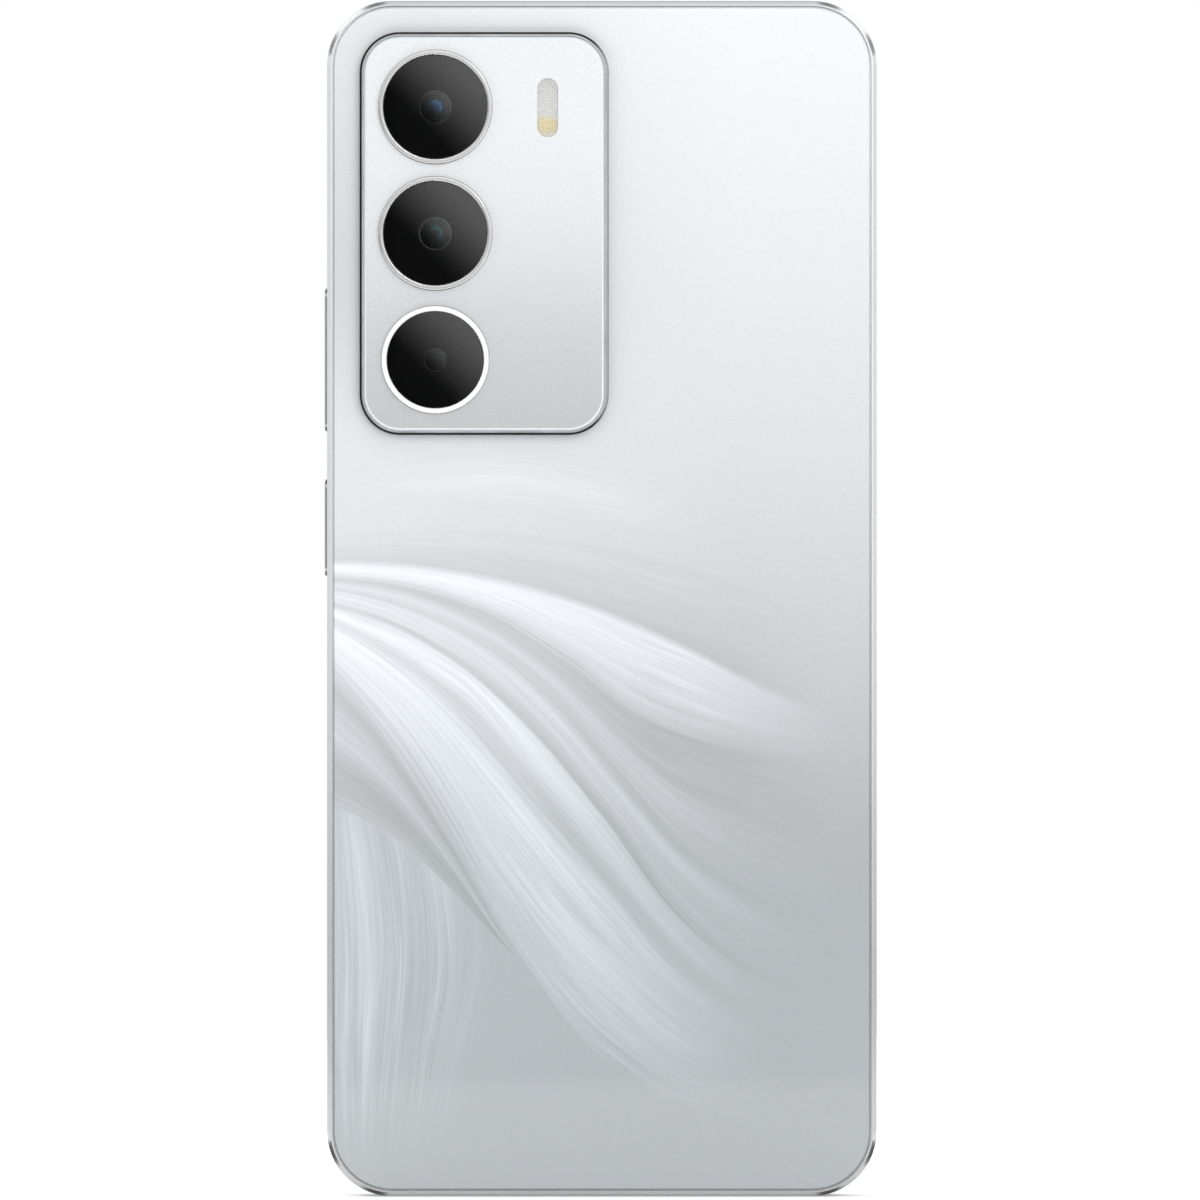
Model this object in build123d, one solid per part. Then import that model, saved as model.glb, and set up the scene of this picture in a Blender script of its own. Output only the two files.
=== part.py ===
"""A bar smartphone standing upright on its bottom edge, built as an assembly of separate pieces.

X runs across the phone, with the keys on +X and the SIM tray on -X.
Y runs through its thickness, with the display at -Y and the rear cover at +Y.
Z runs up its length. The origin is the middle of the bottom edge. All sizes are in millimetres.
"""

import os
from math import radians, tan

from build123d import *

# Whole phone
WIDTH = 76.2
LENGTH = 165.7
THICKNESS = 7.9
CORNER_RADIUS = 9.0
EDGE_CHAMFER = 0.5
WALL = 2.2
REAR = THICKNESS / 2
FRONT = -THICKNESS / 2
SIDE = WIDTH / 2
INNER_SIDE = SIDE - WALL
OVERCUT = 1.0
TIGHT_CORNER = 0.3
SMALL_CORNER = 0.5
SOFT_CORNER = 0.8

# Depths of the layers, from the display to the rear cover
COVER_INSET = 0.87
RIM_INSET = 0.72
COVER_CHAMFER = 0.22
GLASS_EDGE_RADIUS = 0.2
GLUE = 0.07
GLUE_MARGIN = 0.1
GLASS_THICKNESS = 0.68
COVER_THICKNESS = 0.78
GLASS_BACK = FRONT + GLASS_THICKNESS
FRONT_LEDGE = GLASS_BACK + GLUE
COVER_INNER = REAR - COVER_THICKNESS
REAR_LEDGE = COVER_INNER - GLUE
PANEL_BACK = GLASS_BACK + 0.72
BACKLIGHT_BACK = PANEL_BACK + 0.70
PLATE_FRONT = -1.75
PLATE_REAR = -1.15
FLOOR = PLATE_REAR + 0.10
BOARD_LOW = -0.15
BOARD_HIGH = 0.65
INNER_COVER_LOW = 2.30
INNER_COVER_HIGH = 3.05
FIT_GAP = 0.3

# Camera island on the rear cover
ISLAND_WIDTH = 34.5
ISLAND_HEIGHT = 55.8
ISLAND_RADIUS = 5.6
ISLAND_X = 16.3
ISLAND_Z = 133.4
ISLAND_RISE = 1.2
ISLAND_RIM = 0.55
ISLAND_NECK_INSET = 1.65
ISLAND_TOP = REAR + ISLAND_RISE
ISLAND_SEAT = REAR + 0.45
ISLAND_EDGE_RADIUS = 0.2
ISLAND_NECK_GAP = 0.05
PLATE_PROUD = 0.10
PLATE_BEVEL = 0.35

# Camera lenses
LENS_X = 23.07
LENS_PITCH = 17.5
LENS_RING_RADIUS = 7.84
LENS_GLASS_RADIUS = 7.22
DEPTH_RING_RADIUS = 7.43
DEPTH_GLASS_RADIUS = 6.72
RING_PROUD = 0.70
RING_GROOVE = 0.12
RING_EDGE_RADIUS = 0.14
GLASS_DROP = 0.12
LENS_GLASS_THICKNESS = 0.75
LENS_GLASS_EDGE_RADIUS = 0.08
LIP = 0.62
LENS_GAP = 0.03
MASK = 0.10
RING_TOP = ISLAND_TOP + PLATE_PROUD + RING_PROUD
LENS_GLASS_TOP = RING_TOP - GLASS_DROP
LENS_GLASS_BACK = LENS_GLASS_TOP - LENS_GLASS_THICKNESS
MASK_BACK = LENS_GLASS_BACK - MASK
MAIN_LENS_Z = ISLAND_Z + LENS_PITCH
WIDE_LENS_Z = ISLAND_Z
DEPTH_LENS_Z = ISLAND_Z - LENS_PITCH
APERTURE_RADIUS = 2.3
DEPTH_APERTURE_RADIUS = 1.6
BARREL_TOP = 4.20
DOME_RADIUS = 2.1
DEPTH_DOME_RADIUS = 1.5
DOME_RISE = 0.35
SENSOR_BOARD = 0.5
SENSOR_BOARD_MARGIN = 0.7
MAIN_CAMERA_SIZE = 10.6
WIDE_CAMERA_SIZE = 8.6
DEPTH_CAMERA_SIZE = 6.4
WIDE_CAMERA_TOP = 2.9
DEPTH_CAMERA_TOP = 2.6
WIDE_BARREL_RADIUS = 3.0
DEPTH_BARREL_RADIUS = 2.2
FOCUS_BORE_RADIUS = 3.05
FOCUS_BARREL_RADIUS = 3.0
FOCUS_NOSE_RADIUS = 2.5
FOCUS_BARREL_LOW = 0.4
FOCUS_SHOULDER = 3.6

# Flash
FLASH_X = 7.5
FLASH_Z = 150.8
FLASH_WIDTH = 2.76
FLASH_HEIGHT = 8.1
FLASH_LED_DROP = 2.2
FLASH_EDGE_RADIUS = 0.12
FLASH_GAP = 0.1
FLASH_BOARD_WIDTH = 4.0
FLASH_BOARD_HEIGHT = 10.0
FLASH_BOARD_LOW = 2.45
FLASH_BOARD_HIGH = 2.75
FLASH_LED_SIZE = 2.0
FLASH_LED_TOP = 3.45

# Side keys
KEY_WIDTH = 2.4
KEY_PROUD = 0.4
KEY_CAP = 1.3
KEY_GAP = 0.12
KEY_EDGE_RADIUS = 0.25
KEY_RECESS = 1.2
POST_RADIUS = 0.75
POST_HOLE_RADIUS = 0.95
POST_TIP = 34.97
FLANGE_RADIUS = 1.1
FLANGE_THICKNESS = 0.3
FLANGE_GAP = 0.35
SEAL_X = 36.15
SEAL_THICKNESS = 0.45
SEAL_GAP = 0.06
POWER_LENGTH = 13.45
POWER_Z = 92.7
VOLUME_LENGTH = 19.9
VOLUME_Z = 116.0
VOLUME_POST_OFFSET = 6.0
POWER_POST_OFFSET = 4.0
KEY_FLEX_X = 34.35
KEY_FLEX_THICKNESS = 0.15
KEY_FLEX_WIDTH = 2.4
KEY_FLEX_LENGTH = 44.0
KEY_FLEX_Y = PLATE_REAR + KEY_FLEX_WIDTH / 2
KEY_FLEX_Z = 106.8
KEY_TAIL_END = 7.2
KEY_TAIL_LOW = 125.8
KEY_TAIL_HIGH = 128.2
KEY_TAIL_Y = 1.05
BRACKET_THICKNESS = 0.4
BRACKET_LENGTH = 43.0
SWITCH_RADIUS = 1.0
SWITCH_HEIGHT = 0.2

# SIM tray, in the -X side
TRAY_Y = 1.5
TRAY_CAP_Z = 140.0
TRAY_CAP_LENGTH = 17.6
TRAY_CAP_WIDTH = 2.4
TRAY_CAP_THICKNESS = 1.0
TRAY_THICKNESS = 1.1
TRAY_LOW = 134.6
TRAY_HIGH = 148.4
TRAY_INNER_END = -13.0
TRAY_GAP = 0.05
TRAY_STEP = 0.3
TRAY_STEM_LENGTH = 0.8
TRAY_EDGE_RADIUS = 0.15
TRAY_SEAL_X = -36.9
TRAY_SEAL_THICKNESS = 0.4
SIM_LENGTH = 12.4
SIM_WIDTH = 8.9
SIM_LEDGE = 0.8
SIM_DEPTH = 0.75
SIM_BAR = 1.2
SOCKET_LOW = -35.4
SOCKET_HIGH = -12.7
SOCKET_TOP = 2.26
SOCKET_SKIN = 0.15
SOCKET_GUIDE_TOP = 2.1
SOCKET_GUIDES = (-34.0, -17.0)
SOCKET_GUIDE_LENGTH = 3.0
EJECT_Z = 132.9
EJECT_HOLE_RADIUS = 0.5
EJECT_ROD_RADIUS = 0.45
EJECT_ROD_OUTER_END = -36.15
LEVER_X = -10.1
LEVER_Z = 136.4
LEVER_THICKNESS = 1.2
LEVER_LENGTH = 8.6
LEVER_EYE_RADIUS = 1.1
LEVER_LOW = 1.05
LEVER_HIGH = 1.85
PIVOT_RADIUS = 0.4
PIVOT_GAP = 0.03
PIVOT_TOP = 2.0

# Bottom edge: charging port, loudspeaker holes and microphone hole
PORT_Y = 0.55
PORT_WIDTH = 8.94
PORT_HEIGHT = 3.16
PORT_WALL = 0.30
PORT_MOUTH = 0.08
PORT_DEPTH = 7.2
SPEAKER_HOLE_RADIUS = 0.6
SPEAKER_HOLE_COUNT = 6
SPEAKER_HOLE_PITCH = 2.1
SPEAKER_X = 19.7
MIC_HOLE_RADIUS = 0.5
BOTTOM_MIC_X = -12.0
TOP_MIC_X = -14.0

# Front camera and earpiece
FRONT_CAMERA_Z = 158.9
FRONT_CAMERA_SIZE = 6.4
FRONT_CAMERA_TOP = 1.3
FRONT_CAMERA_GAP = 0.05
FRONT_NOSE_RADIUS = 1.75
FRONT_NOSE_GAP = 0.2
EARPIECE_SLIT_LENGTH = 11.0
EARPIECE_SLIT_HEIGHT = 0.75
EARPIECE_X = -14.0
EARPIECE_Z = 158.2
EARPIECE_WIDTH = 12.0
EARPIECE_HEIGHT = 6.0
EARPIECE_TOP = 1.4
EARPIECE_SKIN = 0.6
EARPIECE_HOLLOW_TOP = -0.2
EARPIECE_MEMBRANE_LOW = -0.75
EARPIECE_MESH_GAP = 0.05
SOUND_OPENING_LENGTH = 8.0
SOUND_OPENING_HEIGHT = 2.6

# Loudspeaker, microphones and vibration motor
MEMBRANE = 0.15
MEMBRANE_ROLL = 2.3
MESH = 0.15
MESH_GAP = 0.02
SPEAKER_BOX_WIDTH = 20.2
SPEAKER_BOX_LOW = 2.6
SPEAKER_BOX_HIGH = 19.4
SPEAKER_BOX_TOP = 2.2
SPEAKER_BOX_SKIN = 0.6
SPEAKER_BOX_FLOOR = 0.5
SPEAKER_OUTLET_WIDTH = 13.4
SPEAKER_OUTLET_HEIGHT = 1.5
SPEAKER_MEMBRANE_LOW = 0.95
SPEAKER_MESH_HEIGHT = 2.4
DRIVER_WIDTH = 16.4
DRIVER_HEIGHT = 11.4
DRIVER_CORNER = 2.0
DRIVER_EDGE = 0.7
DRIVER_TOP = 0.45
DRIVER_Z = 12.4
MIC_WIDTH = 3.4
MIC_LENGTH = 2.6
MIC_HEIGHT = 1.0
MIC_SETBACK = 1.1
UPPER_MIC_LENGTH = 1.8
MOTOR_X = -27.5
MOTOR_Z = 11.8
MOTOR_RADIUS = 4.0
MOTOR_TOP = 1.65
MOTOR_SKIN = 0.25
ROTOR_GAP = 0.35
ROTOR_CUT = 0.7
SPINDLE_RADIUS = 0.3
SPINDLE_GAP = 0.03

# Mid plate and battery
BATTERY_WIDTH = 65.4
BATTERY_LOW = 21.5
BATTERY_HIGH = 104.5
BATTERY_TOP = 2.80
BATTERY_CORNER = 2.5
BATTERY_EDGE_RADIUS = 0.8
RIB = 0.6
RIB_LENGTH = 59.4
ADHESIVE_X = 18.0
ADHESIVE_WIDTH = 14.0
ADHESIVE_LENGTH = 70.0
LEAD_LOW_X = -22.0
LEAD_HIGH_X = -14.0
LEAD_THICKNESS = 0.2
LEAD_END = 112.0
LEAD_OVERLAP = 1.0
GRAPHITE_WIDTH = 62.0
GRAPHITE_LENGTH = 120.0
GRAPHITE_CORNER = 3.0
GRAPHITE_Z = 84.0
GRAPHITE_THICKNESS = 0.07
GRAPHITE_GAP = 0.02

# Boards: each chip has its X range, its Z range and its height
BOARD_CORNER = 1.5
BOSS_GAP = 0.2
MAIN_BOARD_WIDTH = 46.8
MAIN_BOARD_HEIGHT = 47.5
MAIN_BOARD_X = -11.8
MAIN_BOARD_Z = 129.75
CHARGING_BOARD_WIDTH = 43.6
CHARGING_BOARD_HEIGHT = 16.6
CHARGING_BOARD_X = -13.2
CHARGING_BOARD_Z = 11.6
PORT_CUTOUT = 4.7
CHIPS = [
    (-4.9, 8.1, 137.5, 150.5, 0.85),
    (-3.6, 7.9, 131.3, 136.3, 0.75),
    (-26.0, -18.0, 115.6, 123.6, 0.75),
    (-12.0, -5.0, 116.0, 123.0, 0.75),
    (1.0, 7.0, 116.5, 122.5, 0.75),
]
SHIELDS = [(-7.6, 10.8, 130.0, 152.5), (-28.5, 10.5, 114.0, 125.4)]
SHIELD_TOP = 2.1
SHIELD_SKIN = 0.2
TONGUE_WIDTH = 6.7
TONGUE_THICKNESS = 0.7
TONGUE_START = 1.3
TONGUE_BASE = 1.4
TONGUE_GAP = 0.02

# Ribbons, connectors and antenna cable
FLEX_THICKNESS = 0.12
FLEX_X = -2.0
FLEX_WIDTH = 9.0
FLEX_GAP = 0.05
RIBBON_BEND = 0.4
RIBBON_OPENING_WIDTH = 24.0
RIBBON_OPENING_HEIGHT = 2.0
RIBBON_OPENING_Z = 10.5
DISPLAY_FLEX_WIDTH = 18.0
DISPLAY_FLEX_THICKNESS = 0.06
DISPLAY_FLEX_GAP = 0.05
DISPLAY_FLEX_RISE = 0.45
DISPLAY_FLEX_END = 15.0
DISPLAY_PLUG_WIDTH = 10.0
DISPLAY_PLUG_HEIGHT = 2.0
DISPLAY_PLUG_GAP = 0.4
CONNECTOR_HEIGHT = 0.75
CONNECTOR_LENGTH = 8.0
CONNECTOR_WIDTH = 2.6
CONNECTORS = [(FLEX_X, 110.6), (-18.0, 110.6), (FLEX_X, 15.6)]
CABLE_RADIUS = 0.4
CABLE_Y = 1.25
CABLE_X = -34.35
CABLE_PLUG_RADIUS = 1.0

# Inner covers and screws
SCREW_RADIUS = 0.69
SCREW_HEAD_RADIUS = 1.2
SCREW_HEAD_HEIGHT = 0.4
SCREW_GAP = 0.1
SCREW_END_GAP = 0.2
SLOT_LENGTH = 1.3
SLOT_WIDTH = 0.3
SLOT_DEPTH = 0.25
BOSS_RADIUS = 1.7
UPPER_COVER_LOW = 106.4
LOWER_COVER_HIGH = 19.9
CAMERA_OPENING_WIDTH = 15.6
CAMERA_OPENING_HEIGHT = 47.6
CAMERA_OPENING_CORNER = 2.0
CAMERA_OPENING_Z = 134.6
FLASH_OPENING_WIDTH = 4.6
FLASH_OPENING_HEIGHT = 10.6
UPPER_SCREWS = [(-32.6, 159.6), (8.6, 158.6), (32.6, 159.6), (-31.6, 110.0), (9.4, 110.0), (31.5, 107.9)]
LOWER_SCREWS = [(-32.6, 6.1), (-20.5, 17.4), (7.3, 17.4), (7.3, 5.4), (32.6, 6.1), (32.6, 17.4)]


def layer(outline, y_low, y_high):
    """A plate between two depths, from an outline drawn with X across and Z up."""
    return extrude(Plane.XZ.offset(-y_low) * outline, amount=y_low - y_high)


def side_prism(outline, x_low, x_high):
    """A prism along X, from an outline drawn with Y across and Z up."""
    return extrude(Plane.YZ.offset(x_low) * outline, amount=x_high - x_low)


def upright_prism(outline, z_low, z_high):
    """A prism along Z, from an outline drawn with X across and Y up."""
    return extrude(Plane.XY.offset(z_low) * outline, amount=z_high - z_low)


def block(x_low, x_high, y_low, y_high, z_low, z_high):
    """A box between two corners."""
    sizes = (x_high - x_low, y_high - y_low, z_high - z_low)
    return Pos(x_low, y_low, z_low) * Box(*sizes, align=Align.MIN)


def rounded(width, height, radius, across=0.0, up=0.0):
    """A rectangle with round corners, centred on a point."""
    return Pos(across, up) * RectangleRounded(width, height, radius)


def pill(length, width, across=0.0, up=0.0, turn=0):
    """A slot shape with half-round ends, centred on a point."""
    return Pos(across, up) * Rot(0, 0, turn) * SlotOverall(length, width)


def disc(radius, x, z, y_low, y_high):
    """A round plate whose axis runs through the thickness of the phone."""
    return layer(Pos(x, z) * Circle(radius), y_low, y_high)


def body_outline(inset):
    """The phone's outline seen from the rear, moved in from its edge."""
    return rounded(WIDTH - 2 * inset, LENGTH - 2 * inset, CORNER_RADIUS - inset, up=LENGTH / 2)


def island_outline(inset):
    """The camera island's outline, moved in from its edge."""
    width = ISLAND_WIDTH - 2 * inset
    height = ISLAND_HEIGHT - 2 * inset
    return rounded(width, height, ISLAND_RADIUS - inset, ISLAND_X, ISLAND_Z)


def group(pieces):
    """Several separate solids kept together as one node."""
    return Compound([solid for piece in pieces for solid in piece.solids()])


def rear_edges(piece):
    """The edges of a piece that lie on its rearmost face."""
    return piece.edges().group_by(Axis.Y)[-1]


def front_edges(piece):
    """The edges of a piece that lie on its frontmost face."""
    return piece.edges().group_by(Axis.Y)[0]


# Casing


def side_frame():
    """The rail all round the phone, with its ledges, key recesses, tray slot and holes."""
    rail = layer(body_outline(0), FRONT, REAR)
    rail = chamfer(front_edges(rail) + rear_edges(rail), EDGE_CHAMFER)
    rail -= layer(body_outline(WALL), FRONT - OVERCUT, REAR + OVERCUT)
    rail -= layer(body_outline(RIM_INSET), FRONT - OVERCUT, FRONT_LEDGE)
    rail -= layer(body_outline(RIM_INSET), REAR_LEDGE, REAR + OVERCUT)
    for length, middle, offset in (
        (POWER_LENGTH, POWER_Z, POWER_POST_OFFSET),
        (VOLUME_LENGTH, VOLUME_Z, VOLUME_POST_OFFSET),
    ):
        rail -= key_recess(length, middle, offset)
    rail -= side_prism(tray_outline(TRAY_GAP), -SIDE - OVERCUT, -INNER_SIDE + OVERCUT)
    rail -= upright_prism(port_outline(TRAY_GAP), -OVERCUT, WALL + OVERCUT)
    for index in range(SPEAKER_HOLE_COUNT):
        rail -= speaker_hole(index)
    rail -= edge_hole(BOTTOM_MIC_X, -OVERCUT)
    rail -= edge_hole(TOP_MIC_X, LENGTH - WALL - OVERCUT)
    rail -= earpiece_channel()
    return rail


def key_recess(length, middle, post_offset):
    """The pocket for a key's cap, and the two holes for its posts."""
    outline = pill(length + 2 * KEY_GAP, KEY_WIDTH + 2 * KEY_GAP, up=middle, turn=90)
    pocket = side_prism(outline, SIDE - KEY_RECESS, SIDE + OVERCUT)
    for sign in (-1, 1):
        hole = Pos(0, middle + sign * post_offset) * Circle(POST_HOLE_RADIUS)
        pocket += side_prism(hole, INNER_SIDE - OVERCUT, SIDE)
    return pocket


def tray_outline(gap):
    """The outline of the SIM tray's cap on the side of the phone."""
    return pill(TRAY_CAP_LENGTH + 2 * gap, TRAY_CAP_WIDTH + 2 * gap, TRAY_Y, TRAY_CAP_Z, turn=90)


def port_outline(gap):
    """The outline of the charging port's metal shell."""
    return pill(PORT_WIDTH + 2 * gap, PORT_HEIGHT + 2 * gap, 0, PORT_Y)


def speaker_hole(index):
    """One of the row of loudspeaker holes in the bottom edge."""
    x = SPEAKER_X + (index - (SPEAKER_HOLE_COUNT - 1) / 2) * SPEAKER_HOLE_PITCH
    return upright_prism(Pos(x, PORT_Y) * Circle(SPEAKER_HOLE_RADIUS), -OVERCUT, WALL + OVERCUT)


def edge_hole(x, z_low):
    """A microphone hole through the top or bottom wall."""
    return upright_prism(Pos(x, PORT_Y) * Circle(MIC_HOLE_RADIUS), z_low, z_low + WALL + 2 * OVERCUT)


def earpiece_channel():
    """The passage that leads the earpiece's sound to the slit above the display."""
    top = LENGTH - COVER_INSET - EARPIECE_SLIT_HEIGHT / 2
    return block(EARPIECE_X, EARPIECE_SLIT_LENGTH / 2, FRONT_LEDGE, 0, top - WALL, top)


def mid_plate():
    """The metal plate that carries everything inside, with its screw bosses and battery ribs."""
    plate = layer(body_outline(WALL), PLATE_FRONT, PLATE_REAR)
    for x, z in UPPER_SCREWS + LOWER_SCREWS:
        plate += disc(BOSS_RADIUS, x, z, PLATE_REAR, INNER_COVER_LOW)
    for z in (BATTERY_LOW - FIT_GAP - RIB, BATTERY_HIGH + FIT_GAP):
        plate += block(-RIB_LENGTH / 2, RIB_LENGTH / 2, PLATE_REAR, BOARD_HIGH, z, z + RIB)
    for x, z in UPPER_SCREWS + LOWER_SCREWS:
        plate -= disc(SCREW_RADIUS, x, z, PLATE_REAR, INNER_COVER_LOW + OVERCUT)
    camera_opening = FRONT_CAMERA_SIZE + 2 * FIT_GAP
    openings = (
        rounded(camera_opening, camera_opening, SOFT_CORNER, 0, FRONT_CAMERA_Z),
        pill(SOUND_OPENING_LENGTH, SOUND_OPENING_HEIGHT, EARPIECE_X, EARPIECE_Z),
        rounded(RIBBON_OPENING_WIDTH, RIBBON_OPENING_HEIGHT, SMALL_CORNER, 0, RIBBON_OPENING_Z),
    )
    for opening in openings:
        plate -= layer(opening, PLATE_FRONT, PLATE_REAR)
    return plate


def rear_cover():
    """The patterned rear shell, with the opening that the camera island sits in."""
    cover = layer(body_outline(COVER_INSET), COVER_INNER, REAR)
    cover = chamfer(rear_edges(cover), COVER_CHAMFER)
    return cover - layer(island_outline(ISLAND_NECK_INSET - ISLAND_NECK_GAP), COVER_INNER, REAR)


def casing_adhesives():
    """The two rings of tape that bond the display glass and the rear cover to the side frame."""
    outline = body_outline(COVER_INSET + GLUE_MARGIN) - body_outline(WALL - GLUE_MARGIN)
    return group([layer(outline, GLASS_BACK, FRONT_LEDGE), layer(outline, REAR_LEDGE, COVER_INNER)])


# Display


def display_glass():
    """The cover glass of the display, with the earpiece's notch in its top edge."""
    glass = layer(body_outline(COVER_INSET), FRONT, GLASS_BACK)
    glass = fillet(front_edges(glass), GLASS_EDGE_RADIUS)
    return glass - layer(earpiece_slit(0), FRONT, GLASS_BACK)


def earpiece_slit(gap):
    """The notch in the top edge of the display glass."""
    edge = LENGTH - COVER_INSET
    height = 2 * (EARPIECE_SLIT_HEIGHT - gap)
    return rounded(EARPIECE_SLIT_LENGTH - 2 * gap, height, SMALL_CORNER - gap, up=edge)


def display_layer(y_low, y_high):
    """A layer of the display, with its hole for the front camera."""
    sheet = layer(body_outline(WALL + FIT_GAP), y_low, y_high)
    return sheet - disc(FRONT_NOSE_RADIUS + FRONT_NOSE_GAP, 0, FRONT_CAMERA_Z, y_low, y_high)


def display_flex():
    """The display's ribbon, which passes through the mid plate to the charging board."""
    in_front = PLATE_FRONT - DISPLAY_FLEX_GAP
    behind = FLOOR + DISPLAY_FLEX_RISE
    route = [(7.0, in_front), (9.8, in_front), (11.0, behind), (DISPLAY_FLEX_END, behind)]
    strip = ribbon(route, 0, DISPLAY_FLEX_WIDTH, DISPLAY_FLEX_THICKNESS)
    plug_half = DISPLAY_PLUG_WIDTH / 2
    plug_high = DISPLAY_FLEX_END - DISPLAY_PLUG_GAP
    plug_low = plug_high - DISPLAY_PLUG_HEIGHT
    return strip + block(-plug_half, plug_half, behind, BOARD_LOW, plug_low, plug_high)


def ribbon(route, x_middle, width, thickness):
    """A flat flexible strip along a route of (z, y) points, with its bends rounded."""
    path = FilletPolyline(*[(x_middle, y, z) for z, y in route], radius=RIBBON_BEND)
    section = Plane(path @ 0, x_dir=(1, 0, 0), z_dir=path % 0) * Rectangle(width, thickness)
    return sweep(section, path=path)


# Camera island


def camera_island_frame():
    """The metal rim of the camera island, with a neck that sits in the rear cover's opening."""
    frame = layer(island_outline(0), REAR, ISLAND_TOP)
    frame = fillet(rear_edges(frame), ISLAND_EDGE_RADIUS)
    frame += layer(island_outline(ISLAND_NECK_INSET), COVER_INNER, REAR)
    frame -= layer(island_outline(ISLAND_RIM), ISLAND_SEAT, ISLAND_TOP + OVERCUT)
    frame -= layer(flash_outline(FLASH_GAP), COVER_INNER, ISLAND_SEAT)
    for z, _, glass_radius in lens_sizes():
        frame -= disc(glass_radius - LIP, LENS_X, z, COVER_INNER, ISLAND_SEAT)
    return frame


def camera_island_plate():
    """The glossy plate inside the rim, with a bevelled edge and holes for lenses and flash."""
    top = ISLAND_TOP + PLATE_PROUD
    plate = layer(island_outline(ISLAND_RIM + LENS_GAP), ISLAND_SEAT, top)
    plate = chamfer(rear_edges(plate), PLATE_BEVEL)
    for z, ring_radius, _ in lens_sizes():
        plate -= disc(ring_radius + RING_GROOVE, LENS_X, z, ISLAND_SEAT, top)
    return plate - layer(flash_outline(LENS_GAP), ISLAND_SEAT, top)


def lens_sizes():
    """Height up the phone, ring radius and glass radius of each rear lens."""
    return (
        (MAIN_LENS_Z, LENS_RING_RADIUS, LENS_GLASS_RADIUS),
        (WIDE_LENS_Z, LENS_RING_RADIUS, LENS_GLASS_RADIUS),
        (DEPTH_LENS_Z, DEPTH_RING_RADIUS, DEPTH_GLASS_RADIUS),
    )


def lens_ring(z, ring_radius, glass_radius):
    """The ring round a lens, with a lip inside that its glass rests on."""
    ring = disc(ring_radius, LENS_X, z, ISLAND_SEAT, RING_TOP)
    ring -= disc(glass_radius + LENS_GAP, LENS_X, z, MASK_BACK, RING_TOP)
    ring = fillet(rear_edges(ring), RING_EDGE_RADIUS)
    return ring - disc(glass_radius - LIP, LENS_X, z, ISLAND_SEAT, MASK_BACK)


def lens_glass(z, glass_radius):
    """The flat cover glass of one rear lens."""
    glass = disc(glass_radius, LENS_X, z, LENS_GLASS_BACK, LENS_GLASS_TOP)
    return fillet(rear_edges(glass), LENS_GLASS_EDGE_RADIUS)


def lens_masks():
    """The black rings under the lens glasses, each with its clear aperture."""
    apertures = (APERTURE_RADIUS, APERTURE_RADIUS, DEPTH_APERTURE_RADIUS)
    masks = []
    for (z, _, glass_radius), aperture in zip(lens_sizes(), apertures):
        mask = disc(glass_radius, LENS_X, z, MASK_BACK, LENS_GLASS_BACK)
        masks.append(mask - disc(aperture, LENS_X, z, MASK_BACK, LENS_GLASS_BACK))
    return group(masks)


def flash_outline(gap):
    """The outline of the flash window."""
    return pill(FLASH_HEIGHT + 2 * gap, FLASH_WIDTH + 2 * gap, FLASH_X, FLASH_Z, turn=90)


def flash_window():
    """The clear diffuser over the flash."""
    window = layer(flash_outline(0), ISLAND_SEAT, ISLAND_TOP + PLATE_PROUD)
    return fillet(rear_edges(window), FLASH_EDGE_RADIUS)


def flash_led():
    """The flash's small board with its square light source."""
    outline = rounded(FLASH_BOARD_WIDTH, FLASH_BOARD_HEIGHT, SMALL_CORNER, FLASH_X, FLASH_Z)
    board = layer(outline, FLASH_BOARD_LOW, FLASH_BOARD_HIGH)
    square = rounded(FLASH_LED_SIZE, FLASH_LED_SIZE, FLASH_LED_SIZE / 10, FLASH_X, FLASH_Z - FLASH_LED_DROP)
    return board + layer(square, FLASH_BOARD_HIGH, FLASH_LED_TOP)


# Cameras


def camera_housing(z, size, top, bore_radius=0.0):
    """A square camera module on its sensor board, with a bore if its lens barrel moves."""
    board_size = size + 2 * SENSOR_BOARD_MARGIN
    board_top = FLOOR + SENSOR_BOARD
    housing = layer(rounded(board_size, board_size, SMALL_CORNER, LENS_X, z), FLOOR, board_top)
    housing += layer(rounded(size, size, SOFT_CORNER, LENS_X, z), board_top, top)
    if bore_radius:
        housing -= disc(bore_radius, LENS_X, z, 0.0, top)
    return housing


def fixed_camera(z, size, top, barrel_radius):
    """A camera module whose lens barrel does not move."""
    housing = camera_housing(z, size, top)
    return housing + disc(barrel_radius, LENS_X, z, top, BARREL_TOP)


def focus_barrel():
    """The main camera's lens barrel, which slides in its housing to focus."""
    barrel = disc(FOCUS_BARREL_RADIUS, LENS_X, MAIN_LENS_Z, FOCUS_BARREL_LOW, FOCUS_SHOULDER)
    return barrel + disc(FOCUS_NOSE_RADIUS, LENS_X, MAIN_LENS_Z, FOCUS_SHOULDER, BARREL_TOP)


def front_element(z, radius):
    """The domed front lens of a rear camera."""
    sphere_radius = (radius**2 + DOME_RISE**2) / (2 * DOME_RISE)
    sphere = Pos(LENS_X, BARREL_TOP + DOME_RISE - sphere_radius, z) * Sphere(sphere_radius)
    return sphere & disc(radius, LENS_X, z, BARREL_TOP, BARREL_TOP + DOME_RISE)


def front_camera():
    """The selfie camera, whose nose reaches through the display to its glass."""
    size = FRONT_CAMERA_SIZE
    low = PLATE_FRONT + FRONT_CAMERA_GAP
    module = layer(rounded(size, size, SMALL_CORNER, 0, FRONT_CAMERA_Z), low, FRONT_CAMERA_TOP)
    return module + disc(FRONT_NOSE_RADIUS, 0, FRONT_CAMERA_Z, GLASS_BACK + 2 * FRONT_CAMERA_GAP, low)


# Sound and vibration


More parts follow.
